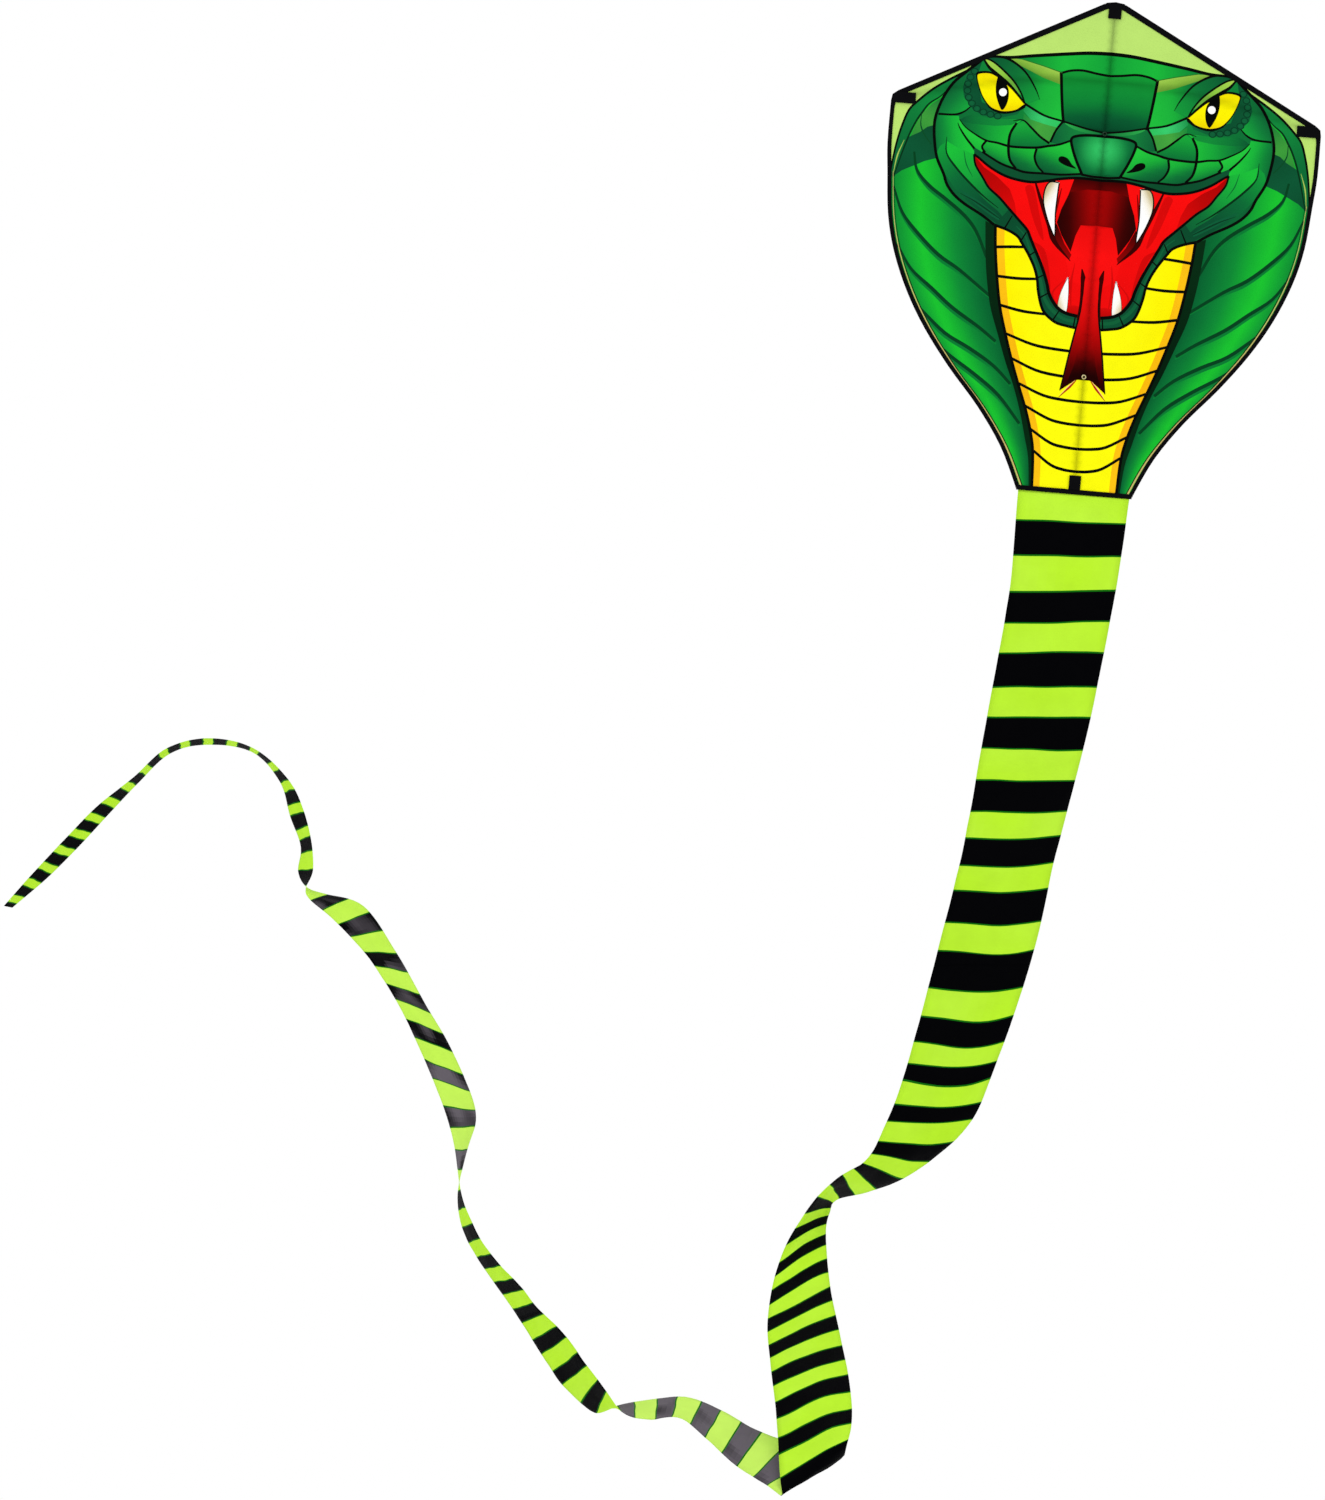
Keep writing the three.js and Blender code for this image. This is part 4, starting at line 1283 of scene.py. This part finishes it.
class KITE_OT_tail(bpy.types.Operator):
    """The striped ribbon tail, in stretches"""

    bl_idname = "kite.tail"
    bl_label = "Striped tail"

    def execute(self, context):
        settings = context.scene.kite_tail
        ribbon = Ribbon(settings)
        bands = band_edges(ribbon.length)
        material = printed_cloth("Striped tail cloth", 1300.0, 75.0, 0.008)
        cuts = [0, 4, 8, 12, 17, 20, 24, 28, 32, 36, 41, 45, 49, 53]
        for index, joint in enumerate(BEND_STATIONS):
            start, end = RIBBON_ENDS[index], RIBBON_ENDS[index + 1]
            name = f"tail_ribbon_{index + 1}"
            piece = tail_piece(name, ribbon, bands, start, end, settings, context.scene.kite_colours,
                material)
            stands_for = [
                f"tail_length_{i + 1:02d}"
                for i in range(len(cuts) - 1)
                if start <= cuts[i] < end or cuts[i] < start < cuts[i + 1]
            ]
            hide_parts(*stands_for)
            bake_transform(piece)
        return {"FINISHED"}


class KITE_OT_finishes(bpy.types.Operator):
    """Materials of the rods, tapes, pockets and fittings"""

    bl_idname = "kite.finishes"
    bl_label = "Rod, tape and fitting finishes"

    def execute(self, context):
        finishes = {
            "black_tape": webbing("Black webbing"),
            "rod": fibre_rod(),
            "fitting": moulded("Moulded fitting", (0.018, 0.018, 0.02), (0.045, 0.045, 0.048), 0.42, 0.6),
            "bright_metal": bright_metal("Plated metal", (0.62, 0.56, 0.30)),
        }
        painted = bright_metal("Black lacquered metal", (0.02, 0.05, 0.03))
        slots = {part["node"]: part["material_slot"] for part in frame["record"]["subparts"]}
        for name, piece in frame["nodes"].items():
            material = painted if name == "upper_bridle_eyelet" else finishes.get(slots[name])
            if material is None:
                continue
            if not piece.material_slots:
                piece.data.materials.append(material)
            for place in piece.material_slots:
                place.material = material
        return {"FINISHED"}


def stitch_path(side):
    """Where the stitching runs beside the side tape and the shoulder tape."""
    inset = 5.2
    edge = [(x - inset, z) for x, z in smooth(SIDE, steps=6) if FOOT + 12 < z < 12]
    shoulder = [(30 + i * 4, 214 - 7.6 - (16 + i * 4) * 0.5229) for i in range(70)]
    return [[(side * x, z) for x, z in line] for line in (edge, shoulder)]


class KITE_OT_stitching(bpy.types.Operator):
    """Rows of thread beside the edge tape"""

    bl_idname = "kite.stitching"
    bl_label = "Stitching"

    def execute(self, context):
        settings = context.scene.kite_sail
        material = webbing("Black thread", (0.004, 0.004, 0.0045))
        for word, side in (("right", 1), ("left", -1)):
            verts, faces = [], []
            for line in stitch_path(side):
                self.sew(np.array(line, float), settings, verts, faces)
            piece = new_piece(f"stitching_{word}", np.array(verts) * MM, faces, material)
            shade_smooth(piece)
            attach(piece, f"{word}_wing")
        return {"FINISHED"}

    def sew(self, line, settings, verts, faces):
        lengths = np.concatenate([[0], np.cumsum(np.linalg.norm(np.diff(line, axis=0), axis=1))])
        step = (settings.stitch_length + settings.stitch_gap) / MM
        half = settings.stitch_length / MM / 2
        for place in np.arange(half, lengths[-1] - half, step):
            x, z = (np.interp(place, lengths, line[:, k]) for k in (0, 1))
            ahead = np.array([np.interp(place + half, lengths, line[:, k]) for k in (0, 1)])
            along = ahead - (x, z)
            along /= np.linalg.norm(along) + 1e-9
            across_way = np.array([-along[1], along[0]])
            y = -1.2
            first = len(verts)
            for share, height in ((-1, 0.05), (-0.7, 0.32), (0, 0.5), (0.7, 0.32), (1, 0.05)):
                for k in range(4):
                    angle = math.pi / 2 * k
                    spot = (
                        np.array((x, z))
                        + along * half * share
                        + across_way * 0.42 * math.cos(angle) * (1.1 - abs(share))
                    )
                    verts.append((spot[0], y + 0.1 - height * 0.5 - 0.3 * height * math.sin(angle), spot[1]))
            for ring in range(4):
                for k in range(4):
                    a, b = first + ring * 4 + k, first + ring * 4 + (k + 1) % 4
                    faces.append((a, b, b + 4, a + 4))
            faces += [tuple(first + k for k in (3, 2, 1, 0)), tuple(first + 16 + k for k in range(4))]


class KITE_OT_elbows(bpy.types.Operator):
    """The soft vinyl elbows between the centre fitting and the spar sleeves"""

    bl_idname = "kite.elbows"
    bl_label = "Vinyl elbows"

    def execute(self, context):
        material = moulded("Black vinyl", (0.014, 0.014, 0.016), (0.035, 0.035, 0.038), 0.3, 0.5)
        arm_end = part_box("centre_fitting")[1].x / MM
        sleeve_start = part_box("spar_sleeve_right")[0].x / MM
        for word, side in (("right", 1), ("left", -1)):
            verts, faces = [], []
            rings = [(-9, 4.6), (-8.5, 5.2), (-4, 5.3), (-1, 5.0), (3, 5.0), (6, 5.3), (11, 5.2), (11.6, 4.5)]
            sides = 20
            middle = (arm_end + sleeve_start) / 2
            for offset, radius in rings:
                x = middle + offset
                for k in range(sides):
                    angle = 2 * math.pi * k / sides
                    verts.append((side * x, ROD_Y + 0.1 + radius * math.cos(angle),
                        spar_z(x) + radius * math.sin(angle)))
            for ring in range(len(rings) - 1):
                for k in range(sides):
                    a, b = ring * sides + k, ring * sides + (k + 1) % sides
                    quad = (a, a + sides, b + sides, b)
                    faces.append(quad if side < 0 else quad[::-1])
            caps = [list(range(sides)), list(range((len(rings) - 1) * sides, len(rings) * sides))[::-1]]
            faces += [tuple(cap if side < 0 else cap[::-1]) for cap in caps]
            piece = new_piece(f"vinyl_elbow_{word}", np.array(verts) * MM, faces, material)
            shade_smooth(piece)
            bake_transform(piece)
        return {"FINISHED"}


class KITE_PT_panel(bpy.types.Panel):
    """Lists the kite's build steps"""

    bl_label = "Cobra kite"
    bl_idname = "KITE_PT_panel"
    bl_space_type = "VIEW_3D"
    bl_region_type = "UI"
    bl_category = "Kite"

    def draw(self, context):
        for operator in OPERATORS:
            self.layout.operator(operator.bl_idname)
        for settings in (context.scene.kite_sail, context.scene.kite_tail, context.scene.kite_colours):
            box = self.layout.box()
            for key in settings.__annotations__:
                box.prop(settings, key)


OPERATORS = (KITE_OT_stage, KITE_OT_sail, KITE_OT_tail, KITE_OT_finishes, KITE_OT_stitching, KITE_OT_elbows)
CLASSES = (SailSettings, TailSettings, ColourSettings, *OPERATORS, KITE_PT_panel)


def register():
    for item in CLASSES:
        bpy.utils.register_class(item)
    bpy.types.Scene.kite_sail = PointerProperty(type=SailSettings)
    bpy.types.Scene.kite_tail = PointerProperty(type=TailSettings)
    bpy.types.Scene.kite_colours = PointerProperty(type=ColourSettings)


def unregister():
    del bpy.types.Scene.kite_colours
    del bpy.types.Scene.kite_tail
    del bpy.types.Scene.kite_sail
    for item in reversed(CLASSES):
        bpy.utils.unregister_class(item)


def main():
    register()
    bpy.ops.kite.stage()
    bpy.ops.kite.sail()
    bpy.ops.kite.tail()
    bpy.ops.kite.finishes()
    bpy.ops.kite.stitching()
    bpy.ops.kite.elbows()
    bpy.context.view_layer.update()


if __name__ == "__main__":
    main()
